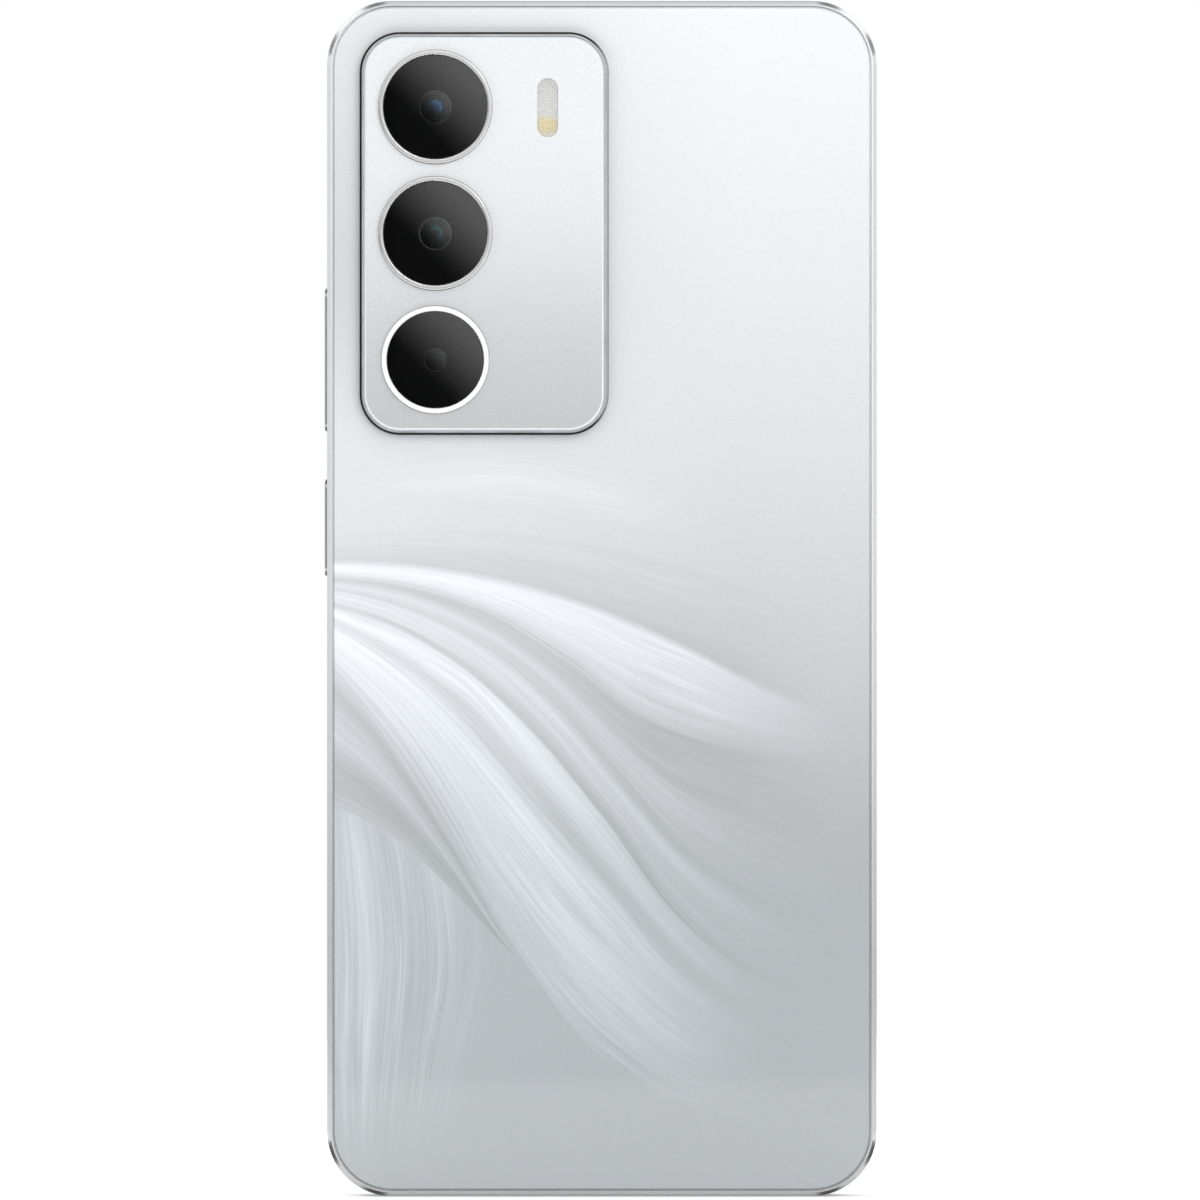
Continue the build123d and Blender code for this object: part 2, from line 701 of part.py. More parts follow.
def earpiece_case():
    """The shell of the earpiece speaker, open towards the display."""
    width = EARPIECE_WIDTH - 2 * EARPIECE_SKIN
    height = EARPIECE_HEIGHT - 2 * EARPIECE_SKIN
    case = rounded(EARPIECE_WIDTH, EARPIECE_HEIGHT, SOFT_CORNER, EARPIECE_X, EARPIECE_Z)
    hollow = rounded(width, height, SMALL_CORNER, EARPIECE_X, EARPIECE_Z)
    return layer(case, PLATE_REAR, EARPIECE_TOP) - layer(hollow, PLATE_REAR, EARPIECE_HOLLOW_TOP)


def earpiece_diaphragm():
    """The earpiece's moving membrane."""
    gap = EARPIECE_SKIN + FIT_GAP
    width = EARPIECE_WIDTH - 2 * gap
    height = EARPIECE_HEIGHT - 2 * gap
    outline = rounded(width, height, SMALL_CORNER, EARPIECE_X, EARPIECE_Z)
    return layer(outline, EARPIECE_MEMBRANE_LOW, EARPIECE_MEMBRANE_LOW + MEMBRANE)


def earpiece_mesh():
    """The strip of dust mesh in the notch above the display."""
    strip = layer(earpiece_slit(EARPIECE_MESH_GAP), FRONT + MESH, FRONT + 3 * MESH)
    return strip & layer(body_outline(COVER_INSET), FRONT, GLASS_BACK)


def loudspeaker_box():
    """The hollow speaker box, with its sound outlet towards the bottom edge."""
    skin = SPEAKER_BOX_SKIN
    middle = (SPEAKER_BOX_LOW + SPEAKER_BOX_HIGH) / 2
    height = SPEAKER_BOX_HIGH - SPEAKER_BOX_LOW
    outer = Pos(SPEAKER_X, middle) * Rectangle(SPEAKER_BOX_WIDTH, height)
    inner = Pos(SPEAKER_X, middle) * Rectangle(SPEAKER_BOX_WIDTH - 2 * skin, height - 2 * skin)
    box = layer(outer, FLOOR, SPEAKER_BOX_TOP)
    box -= layer(inner, FLOOR + SPEAKER_BOX_FLOOR, SPEAKER_BOX_TOP - SPEAKER_BOX_FLOOR)
    outlet = Pos(SPEAKER_X, PORT_Y) * Rectangle(SPEAKER_OUTLET_WIDTH, SPEAKER_OUTLET_HEIGHT)
    return box - upright_prism(outlet, SPEAKER_BOX_LOW, SPEAKER_BOX_LOW + skin)


def loudspeaker_driver():
    """The magnet and basket of the loudspeaker."""
    outline = rounded(DRIVER_WIDTH, DRIVER_HEIGHT, DRIVER_CORNER, SPEAKER_X, DRIVER_Z)
    return layer(outline, FLOOR + SPEAKER_BOX_FLOOR, DRIVER_TOP)


def loudspeaker_diaphragm():
    """The loudspeaker's moving membrane, with its raised middle."""
    width = DRIVER_WIDTH - 2 * DRIVER_EDGE
    height = DRIVER_HEIGHT - 2 * DRIVER_EDGE
    roll = 2 * MEMBRANE_ROLL
    skirt = rounded(width, height, DRIVER_CORNER, SPEAKER_X, DRIVER_Z)
    middle = rounded(width - roll, height - roll, DRIVER_CORNER - SMALL_CORNER, SPEAKER_X, DRIVER_Z)
    low = SPEAKER_MEMBRANE_LOW
    return layer(skirt, low, low + MEMBRANE) + layer(middle, low + MEMBRANE, low + 2 * MEMBRANE)


def loudspeaker_mesh():
    """The dust mesh behind the loudspeaker holes."""
    width = SPEAKER_HOLE_COUNT * SPEAKER_HOLE_PITCH
    low = WALL + MESH_GAP
    outline = rounded(width, SPEAKER_MESH_HEIGHT, TIGHT_CORNER, SPEAKER_X, PORT_Y)
    return upright_prism(outline, low, low + MESH)


def microphones():
    """The two microphone capsules, behind the holes in the bottom and top edges."""
    low = WALL + MIC_SETBACK
    high = LENGTH - WALL - MESH_GAP
    lower = Pos(BOTTOM_MIC_X, BOARD_HIGH + MIC_HEIGHT / 2) * Rectangle(MIC_WIDTH, MIC_HEIGHT)
    upper = Pos(TOP_MIC_X, BOARD_LOW + MIC_HEIGHT / 2) * Rectangle(MIC_WIDTH, MIC_HEIGHT)
    lower_capsule = upright_prism(lower, low, low + MIC_LENGTH)
    upper_capsule = upright_prism(upper, high - UPPER_MIC_LENGTH, high)
    return group([lower_capsule, upper_capsule])


def motor_case():
    """The closed can of the vibration motor, with its fixed spindle."""
    skin = MOTOR_SKIN
    case = disc(MOTOR_RADIUS, MOTOR_X, MOTOR_Z, FLOOR, MOTOR_TOP)
    case -= disc(MOTOR_RADIUS - skin, MOTOR_X, MOTOR_Z, FLOOR + skin, MOTOR_TOP - skin)
    return case + disc(SPINDLE_RADIUS, MOTOR_X, MOTOR_Z, FLOOR, MOTOR_TOP)


def motor_rotor():
    """The off-centre weight that spins in the motor; it hangs below its spindle."""
    radius = MOTOR_RADIUS - MOTOR_SKIN - ROTOR_GAP
    low = FLOOR + MOTOR_SKIN + ROTOR_GAP
    high = MOTOR_TOP - MOTOR_SKIN - ROTOR_GAP
    weight = disc(radius, MOTOR_X, MOTOR_Z, low, high)
    cut = MOTOR_Z + ROTOR_CUT
    weight -= block(MOTOR_X - radius, MOTOR_X + radius, low, high, cut, MOTOR_Z + radius)
    return weight - disc(SPINDLE_RADIUS + SPINDLE_GAP, MOTOR_X, MOTOR_Z, low, high)


# Keys


def side_key(length, middle, post_offset):
    """A key with a long cap outside and two flanged posts that reach inside."""
    outer = SIDE + KEY_PROUD
    cap = side_prism(pill(length, KEY_WIDTH, up=middle, turn=90), outer - KEY_CAP, outer)
    key = fillet(cap.edges().group_by(Axis.X)[-1], KEY_EDGE_RADIUS)
    flange = INNER_SIDE - FLANGE_GAP
    for sign in (-1, 1):
        spot = Pos(0, middle + sign * post_offset)
        key += side_prism(spot * Circle(POST_RADIUS), POST_TIP, outer - KEY_CAP)
        key += side_prism(spot * Circle(FLANGE_RADIUS), flange - FLANGE_THICKNESS, flange)
    return key


def key_seals(middle, post_offset):
    """The rubber rings on a key's posts, inside the wall of the side frame."""
    outline = Circle(POST_HOLE_RADIUS - SEAL_GAP) - Circle(POST_RADIUS)
    rings = []
    for sign in (-1, 1):
        spot = Pos(0, middle + sign * post_offset)
        rings.append(side_prism(spot * outline, SEAL_X, SEAL_X + SEAL_THICKNESS))
    return group(rings)


def switch_heights():
    """Where the key switches stand along the phone: one for power, two for volume."""
    return (
        POWER_Z - POWER_POST_OFFSET,
        VOLUME_Z - VOLUME_POST_OFFSET,
        VOLUME_Z + VOLUME_POST_OFFSET,
    )


def key_flex():
    """The flexible strip behind the keys, with its dome switches and its tail to the main board."""
    back = KEY_FLEX_X
    face = back + KEY_FLEX_THICKNESS
    outline = rounded(KEY_FLEX_WIDTH, KEY_FLEX_LENGTH, SMALL_CORNER, KEY_FLEX_Y, KEY_FLEX_Z)
    strip = side_prism(outline, back, face)
    for z in switch_heights():
        strip += side_prism(Pos(0, z) * Circle(SWITCH_RADIUS), face, face + SWITCH_HEIGHT)
    tail_top = KEY_TAIL_Y + FLEX_THICKNESS
    return strip + block(KEY_TAIL_END, face, KEY_TAIL_Y, tail_top, KEY_TAIL_LOW, KEY_TAIL_HIGH)


def key_bracket():
    """The metal strip that backs the key switches and stands on the mid plate."""
    outline = rounded(KEY_FLEX_WIDTH, BRACKET_LENGTH, SMALL_CORNER, KEY_FLEX_Y, KEY_FLEX_Z)
    strip = side_prism(outline, KEY_FLEX_X - BRACKET_THICKNESS, KEY_FLEX_X)
    low = KEY_TAIL_LOW - FIT_GAP
    high = KEY_TAIL_HIGH + KEY_FLEX_WIDTH
    return strip - block(KEY_TAIL_END, SIDE, KEY_TAIL_Y - TRAY_GAP, SIDE, low, high)


# SIM tray and its ejector


def sim_tray():
    """The SIM tray: its cap on the side of the phone, its stem, and the plate with two card seats."""
    cap_back = -SIDE + TRAY_CAP_THICKNESS
    stem_back = cap_back + TRAY_STEM_LENGTH
    cap = side_prism(tray_outline(0), -SIDE, cap_back)
    tray = fillet(cap.edges().group_by(Axis.X)[0], TRAY_EDGE_RADIUS)
    tray += side_prism(tray_outline(-TRAY_STEP), cap_back, stem_back)
    low = TRAY_Y - TRAY_THICKNESS / 2
    high = TRAY_Y + TRAY_THICKNESS / 2
    tray += block(stem_back, TRAY_INNER_END, low, high, TRAY_LOW, TRAY_HIGH)
    for index in range(2):
        tray -= card_seat(index, low, high)
    return tray - side_prism(Pos(TRAY_Y, EJECT_Z) * Circle(EJECT_HOLE_RADIUS), -SIDE, stem_back)


def card_seat(index, low, high):
    """The recess for one card, with a window through the tray inside its ledge."""
    middle = (TRAY_LOW + TRAY_HIGH) / 2
    x = TRAY_INNER_END - SIM_BAR - SIM_WIDTH / 2 - index * (SIM_WIDTH + SIM_BAR)
    seat = layer(rounded(SIM_WIDTH, SIM_LENGTH, SMALL_CORNER, x, middle), high - SIM_DEPTH, high)
    width = SIM_WIDTH - 2 * SIM_LEDGE
    length = SIM_LENGTH - 2 * SIM_LEDGE
    return seat + layer(rounded(width, length, SMALL_CORNER, x, middle), low, high)


def sim_tray_seal():
    """The rubber ring round the stem of the SIM tray."""
    outline = tray_outline(-TRAY_GAP / 2) - tray_outline(-TRAY_STEP)
    return side_prism(outline, TRAY_SEAL_X, TRAY_SEAL_X + TRAY_SEAL_THICKNESS)


def sim_socket():
    """The metal housing that the SIM tray slides into, with the ejector's guides and pivot."""
    low = BOARD_HIGH
    skin = SOCKET_SKIN
    bottom = TRAY_LOW - SMALL_CORNER
    top = TRAY_HIGH + SMALL_CORNER
    gap = FIT_GAP / 2
    end = SOCKET_HIGH - skin
    shell = block(SOCKET_LOW, SOCKET_HIGH, low, SOCKET_TOP, bottom, top)
    shell -= block(SOCKET_LOW - OVERCUT, end, low + skin, SOCKET_TOP - skin, TRAY_LOW - gap, TRAY_HIGH + gap)
    base_low = LEVER_Z - LEVER_LENGTH / 2
    base_high = LEVER_Z + LEVER_LENGTH / 2 + OVERCUT
    shell += block(end, LEVER_X + 2 * LEVER_EYE_RADIUS, low, low + skin, base_low, base_high)
    shell += layer(Pos(LEVER_X, LEVER_Z) * Circle(PIVOT_RADIUS), low, PIVOT_TOP)
    for x in SOCKET_GUIDES:
        shell += rod_guide(x, bottom)
    return shell


def rod_guide(x, top):
    """A block on the socket's side with a hole that the eject rod slides through."""
    end = x + SOCKET_GUIDE_LENGTH
    guide = block(x, end, BOARD_HIGH, SOCKET_GUIDE_TOP, EJECT_Z - SOFT_CORNER, top)
    return guide - side_prism(Pos(TRAY_Y, EJECT_Z) * Circle(EJECT_HOLE_RADIUS), x, end)


def eject_rod():
    """The thin rod that an eject pin pushes through the hole in the tray's cap."""
    lever_face = LEVER_X - LEVER_THICKNESS / 2
    outline = Pos(TRAY_Y, EJECT_Z) * Circle(EJECT_ROD_RADIUS)
    return side_prism(outline, EJECT_ROD_OUTER_END, lever_face - FIT_GAP)


def eject_lever():
    """The small lever that turns the rod's push into an outward push on the tray."""
    arm = rounded(LEVER_THICKNESS, LEVER_LENGTH, TIGHT_CORNER, LEVER_X, LEVER_Z)
    lever = layer(arm + Pos(LEVER_X, LEVER_Z) * Circle(LEVER_EYE_RADIUS), LEVER_LOW, LEVER_HIGH)
    return lever - disc(PIVOT_RADIUS + PIVOT_GAP, LEVER_X, LEVER_Z, LEVER_LOW, LEVER_HIGH)


# Boards, cables and power


def main_board():
    """The main circuit board, cut out round the screw bosses."""
    outline = rounded(MAIN_BOARD_WIDTH, MAIN_BOARD_HEIGHT, BOARD_CORNER, MAIN_BOARD_X, MAIN_BOARD_Z)
    return cut_round_bosses(layer(outline, BOARD_LOW, BOARD_HIGH), UPPER_SCREWS)


def cut_round_bosses(board, screws):
    """A board with a round hole or notch at each screw boss."""
    for x, z in screws:
        board -= disc(BOSS_RADIUS + BOSS_GAP, x, z, BOARD_LOW, BOARD_HIGH)
    return board


def board_chips():
    """The processor, memory and power chips under the shields."""
    chips = []
    for x_low, x_high, z_low, z_high, height in CHIPS:
        chips.append(block(x_low, x_high, BOARD_HIGH, BOARD_HIGH + height, z_low, z_high))
    return group(chips)


def shield_can(x_low, x_high, z_low, z_high):
    """A thin metal box, open towards the board."""
    skin = SHIELD_SKIN
    top = SHIELD_TOP
    can = block(x_low, x_high, BOARD_HIGH, top, z_low, z_high)
    return can - block(x_low + skin, x_high - skin, BOARD_HIGH, top - skin, z_low + skin, z_high - skin)


def board_shields():
    """The two metal shields over the chips of the main board."""
    return group([shield_can(*corners) for corners in SHIELDS])


def charging_board():
    """The small board at the bottom, cut out round the port, the motor and the bosses."""
    outline = rounded(
        CHARGING_BOARD_WIDTH, CHARGING_BOARD_HEIGHT, BOARD_CORNER, CHARGING_BOARD_X, CHARGING_BOARD_Z
    )
    board = layer(outline, BOARD_LOW, BOARD_HIGH)
    board &= layer(body_outline(WALL + FIT_GAP), BOARD_LOW, BOARD_HIGH)
    board -= block(-PORT_CUTOUT, PORT_CUTOUT, BOARD_LOW, BOARD_HIGH, 0, PORT_DEPTH + FIT_GAP)
    board -= disc(MOTOR_RADIUS + FIT_GAP, MOTOR_X, MOTOR_Z, BOARD_LOW, BOARD_HIGH)
    return cut_round_bosses(board, LOWER_SCREWS).solids().sort_by(SortBy.VOLUME)[-1]


def board_connectors():
    """The press-on connectors under the ribbons and the battery lead."""
    high = BOARD_HIGH + CONNECTOR_HEIGHT
    outlines = [rounded(CONNECTOR_LENGTH, CONNECTOR_WIDTH, TIGHT_CORNER, x, z) for x, z in CONNECTORS]
    return group([layer(outline, BOARD_HIGH, high) for outline in outlines])


def usb_c_shell():
    """The metal shell of the charging port."""
    inner = pill(PORT_WIDTH - 2 * PORT_WALL, PORT_HEIGHT - 2 * PORT_WALL, 0, PORT_Y)
    return upright_prism(port_outline(0) - inner, PORT_MOUTH, PORT_DEPTH)


def usb_c_tongue():
    """The contact tongue inside the charging port, with the plug that closes the shell's back."""
    inset = 2 * PORT_WALL + TONGUE_GAP
    base_low = PORT_DEPTH - TONGUE_BASE
    base = upright_prism(pill(PORT_WIDTH - inset, PORT_HEIGHT - inset, 0, PORT_Y), base_low, PORT_DEPTH)
    blade = rounded(TONGUE_WIDTH, TONGUE_THICKNESS, TONGUE_THICKNESS / 3, 0, PORT_Y)
    return base + upright_prism(blade, TONGUE_START, base_low)


def main_flex():
    """The ribbon over the battery that joins the two boards."""
    low = BOARD_HIGH + CONNECTOR_HEIGHT + FLEX_THICKNESS / 2
    high = BATTERY_TOP + FLEX_GAP + FLEX_THICKNESS / 2
    route = [(14.0, low), (18.8, low), (21.6, high), (104.3, high), (107.1, low), (112.2, low)]
    return ribbon(route, FLEX_X, FLEX_WIDTH, FLEX_THICKNESS)


def battery():
    """The flat pouch battery, with its short lead to the main board."""
    height = BATTERY_HIGH - BATTERY_LOW
    middle = (BATTERY_HIGH + BATTERY_LOW) / 2
    pouch = layer(rounded(BATTERY_WIDTH, height, BATTERY_CORNER, 0, middle), FLOOR, BATTERY_TOP)
    pouch = fillet(rear_edges(pouch) + front_edges(pouch), BATTERY_EDGE_RADIUS)
    low = BOARD_HIGH + CONNECTOR_HEIGHT
    start = BATTERY_HIGH - LEAD_OVERLAP
    return pouch + block(LEAD_LOW_X, LEAD_HIGH_X, low, low + LEAD_THICKNESS, start, LEAD_END)


def battery_adhesive():
    """The two pull-out strips that hold the battery to the mid plate."""
    middle = (BATTERY_HIGH + BATTERY_LOW) / 2
    strips = []
    for x in (-ADHESIVE_X, ADHESIVE_X):
        outline = rounded(ADHESIVE_WIDTH, ADHESIVE_LENGTH, SOFT_CORNER, x, middle)
        strips.append(layer(outline, PLATE_REAR, FLOOR))
    return group(strips)


def graphite_sheet():
    """The heat-spreading foil between the backlight and the mid plate."""
    rear = PLATE_FRONT - GRAPHITE_GAP
    outline = rounded(GRAPHITE_WIDTH, GRAPHITE_LENGTH, GRAPHITE_CORNER, 0, GRAPHITE_Z)
    return layer(outline, rear - GRAPHITE_THICKNESS, rear)


def antenna_cable():
    """The coaxial cable along the battery's side, with a round plug at each end."""
    points = [
        (-30.6, CABLE_Y, 17.2),
        (-33.2, CABLE_Y, 20.4),
        (CABLE_X, CABLE_Y, 27.0),
        (CABLE_X + 0.25, CABLE_Y, 66.0),
        (CABLE_X, CABLE_Y, 106.0),
        (-33.6, CABLE_Y, 114.0),
        (-31.3, CABLE_Y, 117.8),
    ]
    path = smooth_route([Vector(*point) for point in points])
    cable = sweep(Plane(path @ 0, z_dir=path % 0) * Circle(CABLE_RADIUS), path=path)
    for x, y, z in (points[0], points[-1]):
        cable += disc(CABLE_PLUG_RADIUS, x, z, BOARD_HIGH, CABLE_Y + CABLE_RADIUS)
    return cable


def smooth_route(points):
    """Straight runs joined by arcs, each as wide as its two runs have room for."""
    radii = []
    for before, corner, after in zip(points, points[1:], points[2:]):
        turn = (corner - before).get_angle(after - corner)
        shorter = min((corner - before).length, (after - corner).length)
        radii.append(0.45 * shorter / tan(radians(turn / 2)))
    print("antenna cable bend radii:", [round(radius, 1) for radius in radii])
    return FilletPolyline(*points, radius=radii)


# Inner covers and screws


def inner_cover(z_low, z_high, screws):
    """A plastic cover over a board, with a countersunk hole for each screw."""
    cover = layer(body_outline(WALL + FIT_GAP), INNER_COVER_LOW, INNER_COVER_HIGH)
    cover &= block(-SIDE, SIDE, INNER_COVER_LOW, INNER_COVER_HIGH, z_low, z_high)
    seat = INNER_COVER_HIGH - SCREW_HEAD_HEIGHT
    for x, z in screws:
        cover -= disc(SCREW_RADIUS + SCREW_GAP, x, z, INNER_COVER_LOW, INNER_COVER_HIGH)
        cover -= disc(SCREW_HEAD_RADIUS + SCREW_GAP, x, z, seat, INNER_COVER_HIGH)
    return cover


def upper_inner_cover():
    """The cover over the main board, open round the cameras and the flash."""
    cover = inner_cover(UPPER_COVER_LOW, LENGTH, UPPER_SCREWS)
    openings = (
        rounded(CAMERA_OPENING_WIDTH, CAMERA_OPENING_HEIGHT, CAMERA_OPENING_CORNER, LENS_X, CAMERA_OPENING_Z),
        rounded(FLASH_OPENING_WIDTH, FLASH_OPENING_HEIGHT, SOFT_CORNER, FLASH_X, FLASH_Z),
    )
    for opening in openings:
        cover -= layer(opening, INNER_COVER_LOW, INNER_COVER_HIGH)
    return cover


def screw(x, z):
    """One cross-head screw, pointing at the display."""
    seat = INNER_COVER_HIGH - SCREW_HEAD_HEIGHT
    body = disc(SCREW_HEAD_RADIUS, x, z, seat, INNER_COVER_HIGH)
    body += disc(SCREW_RADIUS, x, z, PLATE_REAR + SCREW_END_GAP, seat)
    cross = Rectangle(SLOT_LENGTH, SLOT_WIDTH) + Rectangle(SLOT_WIDTH, SLOT_LENGTH)
    return body - layer(Pos(x, z) * cross, INNER_COVER_HIGH - SLOT_DEPTH, INNER_COVER_HIGH)


def make_phone():
    """Every piece of the phone, by node name."""
    main, wide, depth = lens_sizes()
    main_housing = camera_housing(MAIN_LENS_Z, MAIN_CAMERA_SIZE, INNER_COVER_HIGH, FOCUS_BORE_RADIUS)
    screws = [screw(x, z) for x, z in UPPER_SCREWS + LOWER_SCREWS]
    large_glasses = [lens_glass(z, LENS_GLASS_RADIUS) for z in (MAIN_LENS_Z, WIDE_LENS_Z)]
    fixed_lenses = [front_element(WIDE_LENS_Z, DOME_RADIUS), front_element(DEPTH_LENS_Z, DEPTH_DOME_RADIUS)]
    return {
        "side_frame": side_frame(),
        "mid_plate": mid_plate(),
        "rear_cover": rear_cover(),
        "casing_adhesives": casing_adhesives(),
        "display_glass": display_glass(),
        "display_panel": display_layer(GLASS_BACK, PANEL_BACK),
        "display_backlight": display_layer(PANEL_BACK, BACKLIGHT_BACK),
        "display_flex": display_flex(),
        "camera_island_frame": camera_island_frame(),
        "camera_island_plate": camera_island_plate(),
        "silver_lens_rings": group([lens_ring(*main), lens_ring(*wide)]),
        "white_lens_ring": lens_ring(*depth),
        "large_lens_glasses": group(large_glasses),
        "small_lens_glass": lens_glass(DEPTH_LENS_Z, DEPTH_GLASS_RADIUS),
        "lens_masks": lens_masks(),
        "flash_window": flash_window(),
        "flash_led": flash_led(),
        "main_camera_housing": main_housing,
        "main_camera_barrel": focus_barrel(),
        "main_camera_lens": front_element(MAIN_LENS_Z, DOME_RADIUS),
        "wide_camera": fixed_camera(WIDE_LENS_Z, WIDE_CAMERA_SIZE, WIDE_CAMERA_TOP, WIDE_BARREL_RADIUS),
        "depth_camera": fixed_camera(DEPTH_LENS_Z, DEPTH_CAMERA_SIZE, DEPTH_CAMERA_TOP, DEPTH_BARREL_RADIUS),
        "fixed_camera_lenses": group(fixed_lenses),
        "front_camera": front_camera(),
        "earpiece_case": earpiece_case(),
        "earpiece_diaphragm": earpiece_diaphragm(),
        "earpiece_mesh": earpiece_mesh(),
        "loudspeaker_box": loudspeaker_box(),
        "loudspeaker_driver": loudspeaker_driver(),
        "loudspeaker_diaphragm": loudspeaker_diaphragm(),
        "loudspeaker_mesh": loudspeaker_mesh(),
        "microphones": microphones(),
        "vibration_motor_case": motor_case(),
        "vibration_motor_rotor": motor_rotor(),
        "power_key": side_key(POWER_LENGTH, POWER_Z, POWER_POST_OFFSET),
        "power_key_seals": key_seals(POWER_Z, POWER_POST_OFFSET),
        "volume_key": side_key(VOLUME_LENGTH, VOLUME_Z, VOLUME_POST_OFFSET),
        "volume_key_seals": key_seals(VOLUME_Z, VOLUME_POST_OFFSET),
        "key_flex": key_flex(),
        "key_bracket": key_bracket(),
        "sim_tray": sim_tray(),
        "sim_tray_seal": sim_tray_seal(),
        "sim_socket": sim_socket(),
        "eject_rod": eject_rod(),
        "eject_lever": eject_lever(),
        "main_board": main_board(),
        "board_chips": board_chips(),
        "board_shields": board_shields(),
        "charging_board": charging_board(),
        "board_connectors": board_connectors(),
        "usb_c_shell": usb_c_shell(),
        "usb_c_tongue": usb_c_tongue(),
        "main_flex": main_flex(),
        "battery": battery(),
        "antenna_cable": antenna_cable(),
        "battery_adhesive": battery_adhesive(),
        "graphite_sheet": graphite_sheet(),
        "upper_inner_cover": upper_inner_cover(),
        "lower_inner_cover": inner_cover(0, LOWER_COVER_HIGH, LOWER_SCREWS),
        "inner_cover_screws": group(screws),
    }


os.makedirs("parts", exist_ok=True)
for name, piece in make_phone().items():
    export_step(piece, f"parts/{name}.step")
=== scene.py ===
"""Looks for the smartphone: finishes for every CAD piece, a pale studio and the rear camera.

The phone stands on its bottom edge. X runs across it with the keys on +X, the display faces -Y,
the rear cover faces +Y and Z runs up its length. Everything is in metres, in the CAD's frame.
"""

import math

import bpy
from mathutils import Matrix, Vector


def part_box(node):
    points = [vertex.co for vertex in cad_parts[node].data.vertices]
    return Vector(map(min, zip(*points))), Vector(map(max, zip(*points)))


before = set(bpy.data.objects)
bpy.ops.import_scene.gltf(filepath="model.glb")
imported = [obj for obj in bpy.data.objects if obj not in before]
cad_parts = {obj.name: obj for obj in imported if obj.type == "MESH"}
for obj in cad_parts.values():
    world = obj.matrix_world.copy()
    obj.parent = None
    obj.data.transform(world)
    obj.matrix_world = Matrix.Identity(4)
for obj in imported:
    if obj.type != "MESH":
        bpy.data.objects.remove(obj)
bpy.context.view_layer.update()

MM = 0.001

# Places taken from the CAD pieces
FRAME_LOW, FRAME_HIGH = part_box("side_frame")
ISLAND_LOW, ISLAND_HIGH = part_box("camera_island_frame")
RING_LOW, RING_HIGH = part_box("silver_lens_rings")
DEPTH_LOW, DEPTH_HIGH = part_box("white_lens_ring")
SELFIE_LOW, SELFIE_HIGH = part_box("front_camera")
LED_LOW, LED_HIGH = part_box("flash_led")
TONGUE_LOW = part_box("usb_c_tongue")[0]

WIDTH = FRAME_HIGH.x - FRAME_LOW.x
LENGTH = FRAME_HIGH.z - FRAME_LOW.z
SIDE = FRAME_HIGH.x
REAR = FRAME_HIGH.y
MIDDLE_Z = LENGTH / 2
LENS_X = (DEPTH_LOW.x + DEPTH_HIGH.x) / 2
DEPTH_Z = (DEPTH_LOW.z + DEPTH_HIGH.z) / 2
RING_RADIUS = (RING_HIGH.x - RING_LOW.x) / 2
MAIN_Z = RING_HIGH.z - RING_RADIUS
WIDE_Z = RING_LOW.z + RING_RADIUS

# Sizes of details that a box doesn't give
ISLAND_RADIUS = 5.6 * MM
DOME_RADIUS = 2.1 * MM
CAMERA_HOLE_RADIUS = 1.7 * MM
DISPLAY_SIDE_BORDER = 2.6 * MM
DISPLAY_END_BORDER = 3.2 * MM
BORDER_BLUR = 0.1 * MM

# The cool tint of the silver paint
SILVER_TINT = (0.985, 1.0, 1.02)


class Tree:
    """The node tree of a material or a world, built with short calls."""

    def __init__(self, owner, output):
        self.owner = owner
        owner.use_nodes = True
        self.tree = owner.node_tree
        self.tree.nodes.clear()
        self.output = self.add(output)

    def add(self, kind, **settings):
        """A new node with some of its settings."""
        node = self.tree.nodes.new(kind)
        for name, value in settings.items():
            setattr(node, name, value)
        return node

    def plug(self, value, socket):
        """Feeds an input with another node's output, or sets it to a plain value."""
        if isinstance(value, bpy.types.NodeSocket):
            self.tree.links.new(value, socket)
        else:
            socket.default_value = value

    def between(self, value, low, high, to_low=0.0, to_high=1.0, smooth=False):
        """A value's place between two limits, spread over a new range and held at its ends."""
        kind = "SMOOTHSTEP" if smooth else "LINEAR"
        node = self.add("ShaderNodeMapRange", interpolation_type=kind)
        for item, socket in zip((value, low, high, to_low, to_high), node.inputs):
            self.plug(item, socket)
        return node.outputs[0]

    def blend(self, share, first, second):
        """One value or colour turning into another by a share."""
        colour = any(is_colour(value) for value in (first, second))
        kind, names = ("RGBA", ("A_Color", "B_Color")) if colour else ("FLOAT", ("A_Float", "B_Float"))
        node = self.add("ShaderNodeMix", data_type=kind)
        for value, name in zip((share, first, second), ("Factor_Float", *names)):
            socket = next(item for item in node.inputs if item.identifier == name)
            self.plug((*value, 1.0) if isinstance(value, tuple) else value, socket)
        result = "Result_Color" if colour else "Result_Float"
        return next(item for item in node.outputs if item.identifier == result)

    def mix_shaders(self, share, first, second):
        """One shader turning into another by a share."""
        mixer = self.add("ShaderNodeMixShader")
        for value, socket in zip((share, first, second), mixer.inputs):
            self.plug(value, socket)
        return mixer.outputs[0]

    def finish(self, surface):
        """Gives the material or the world its surface."""
        self.plug(surface, self.output.inputs["Surface"])
        return self.owner


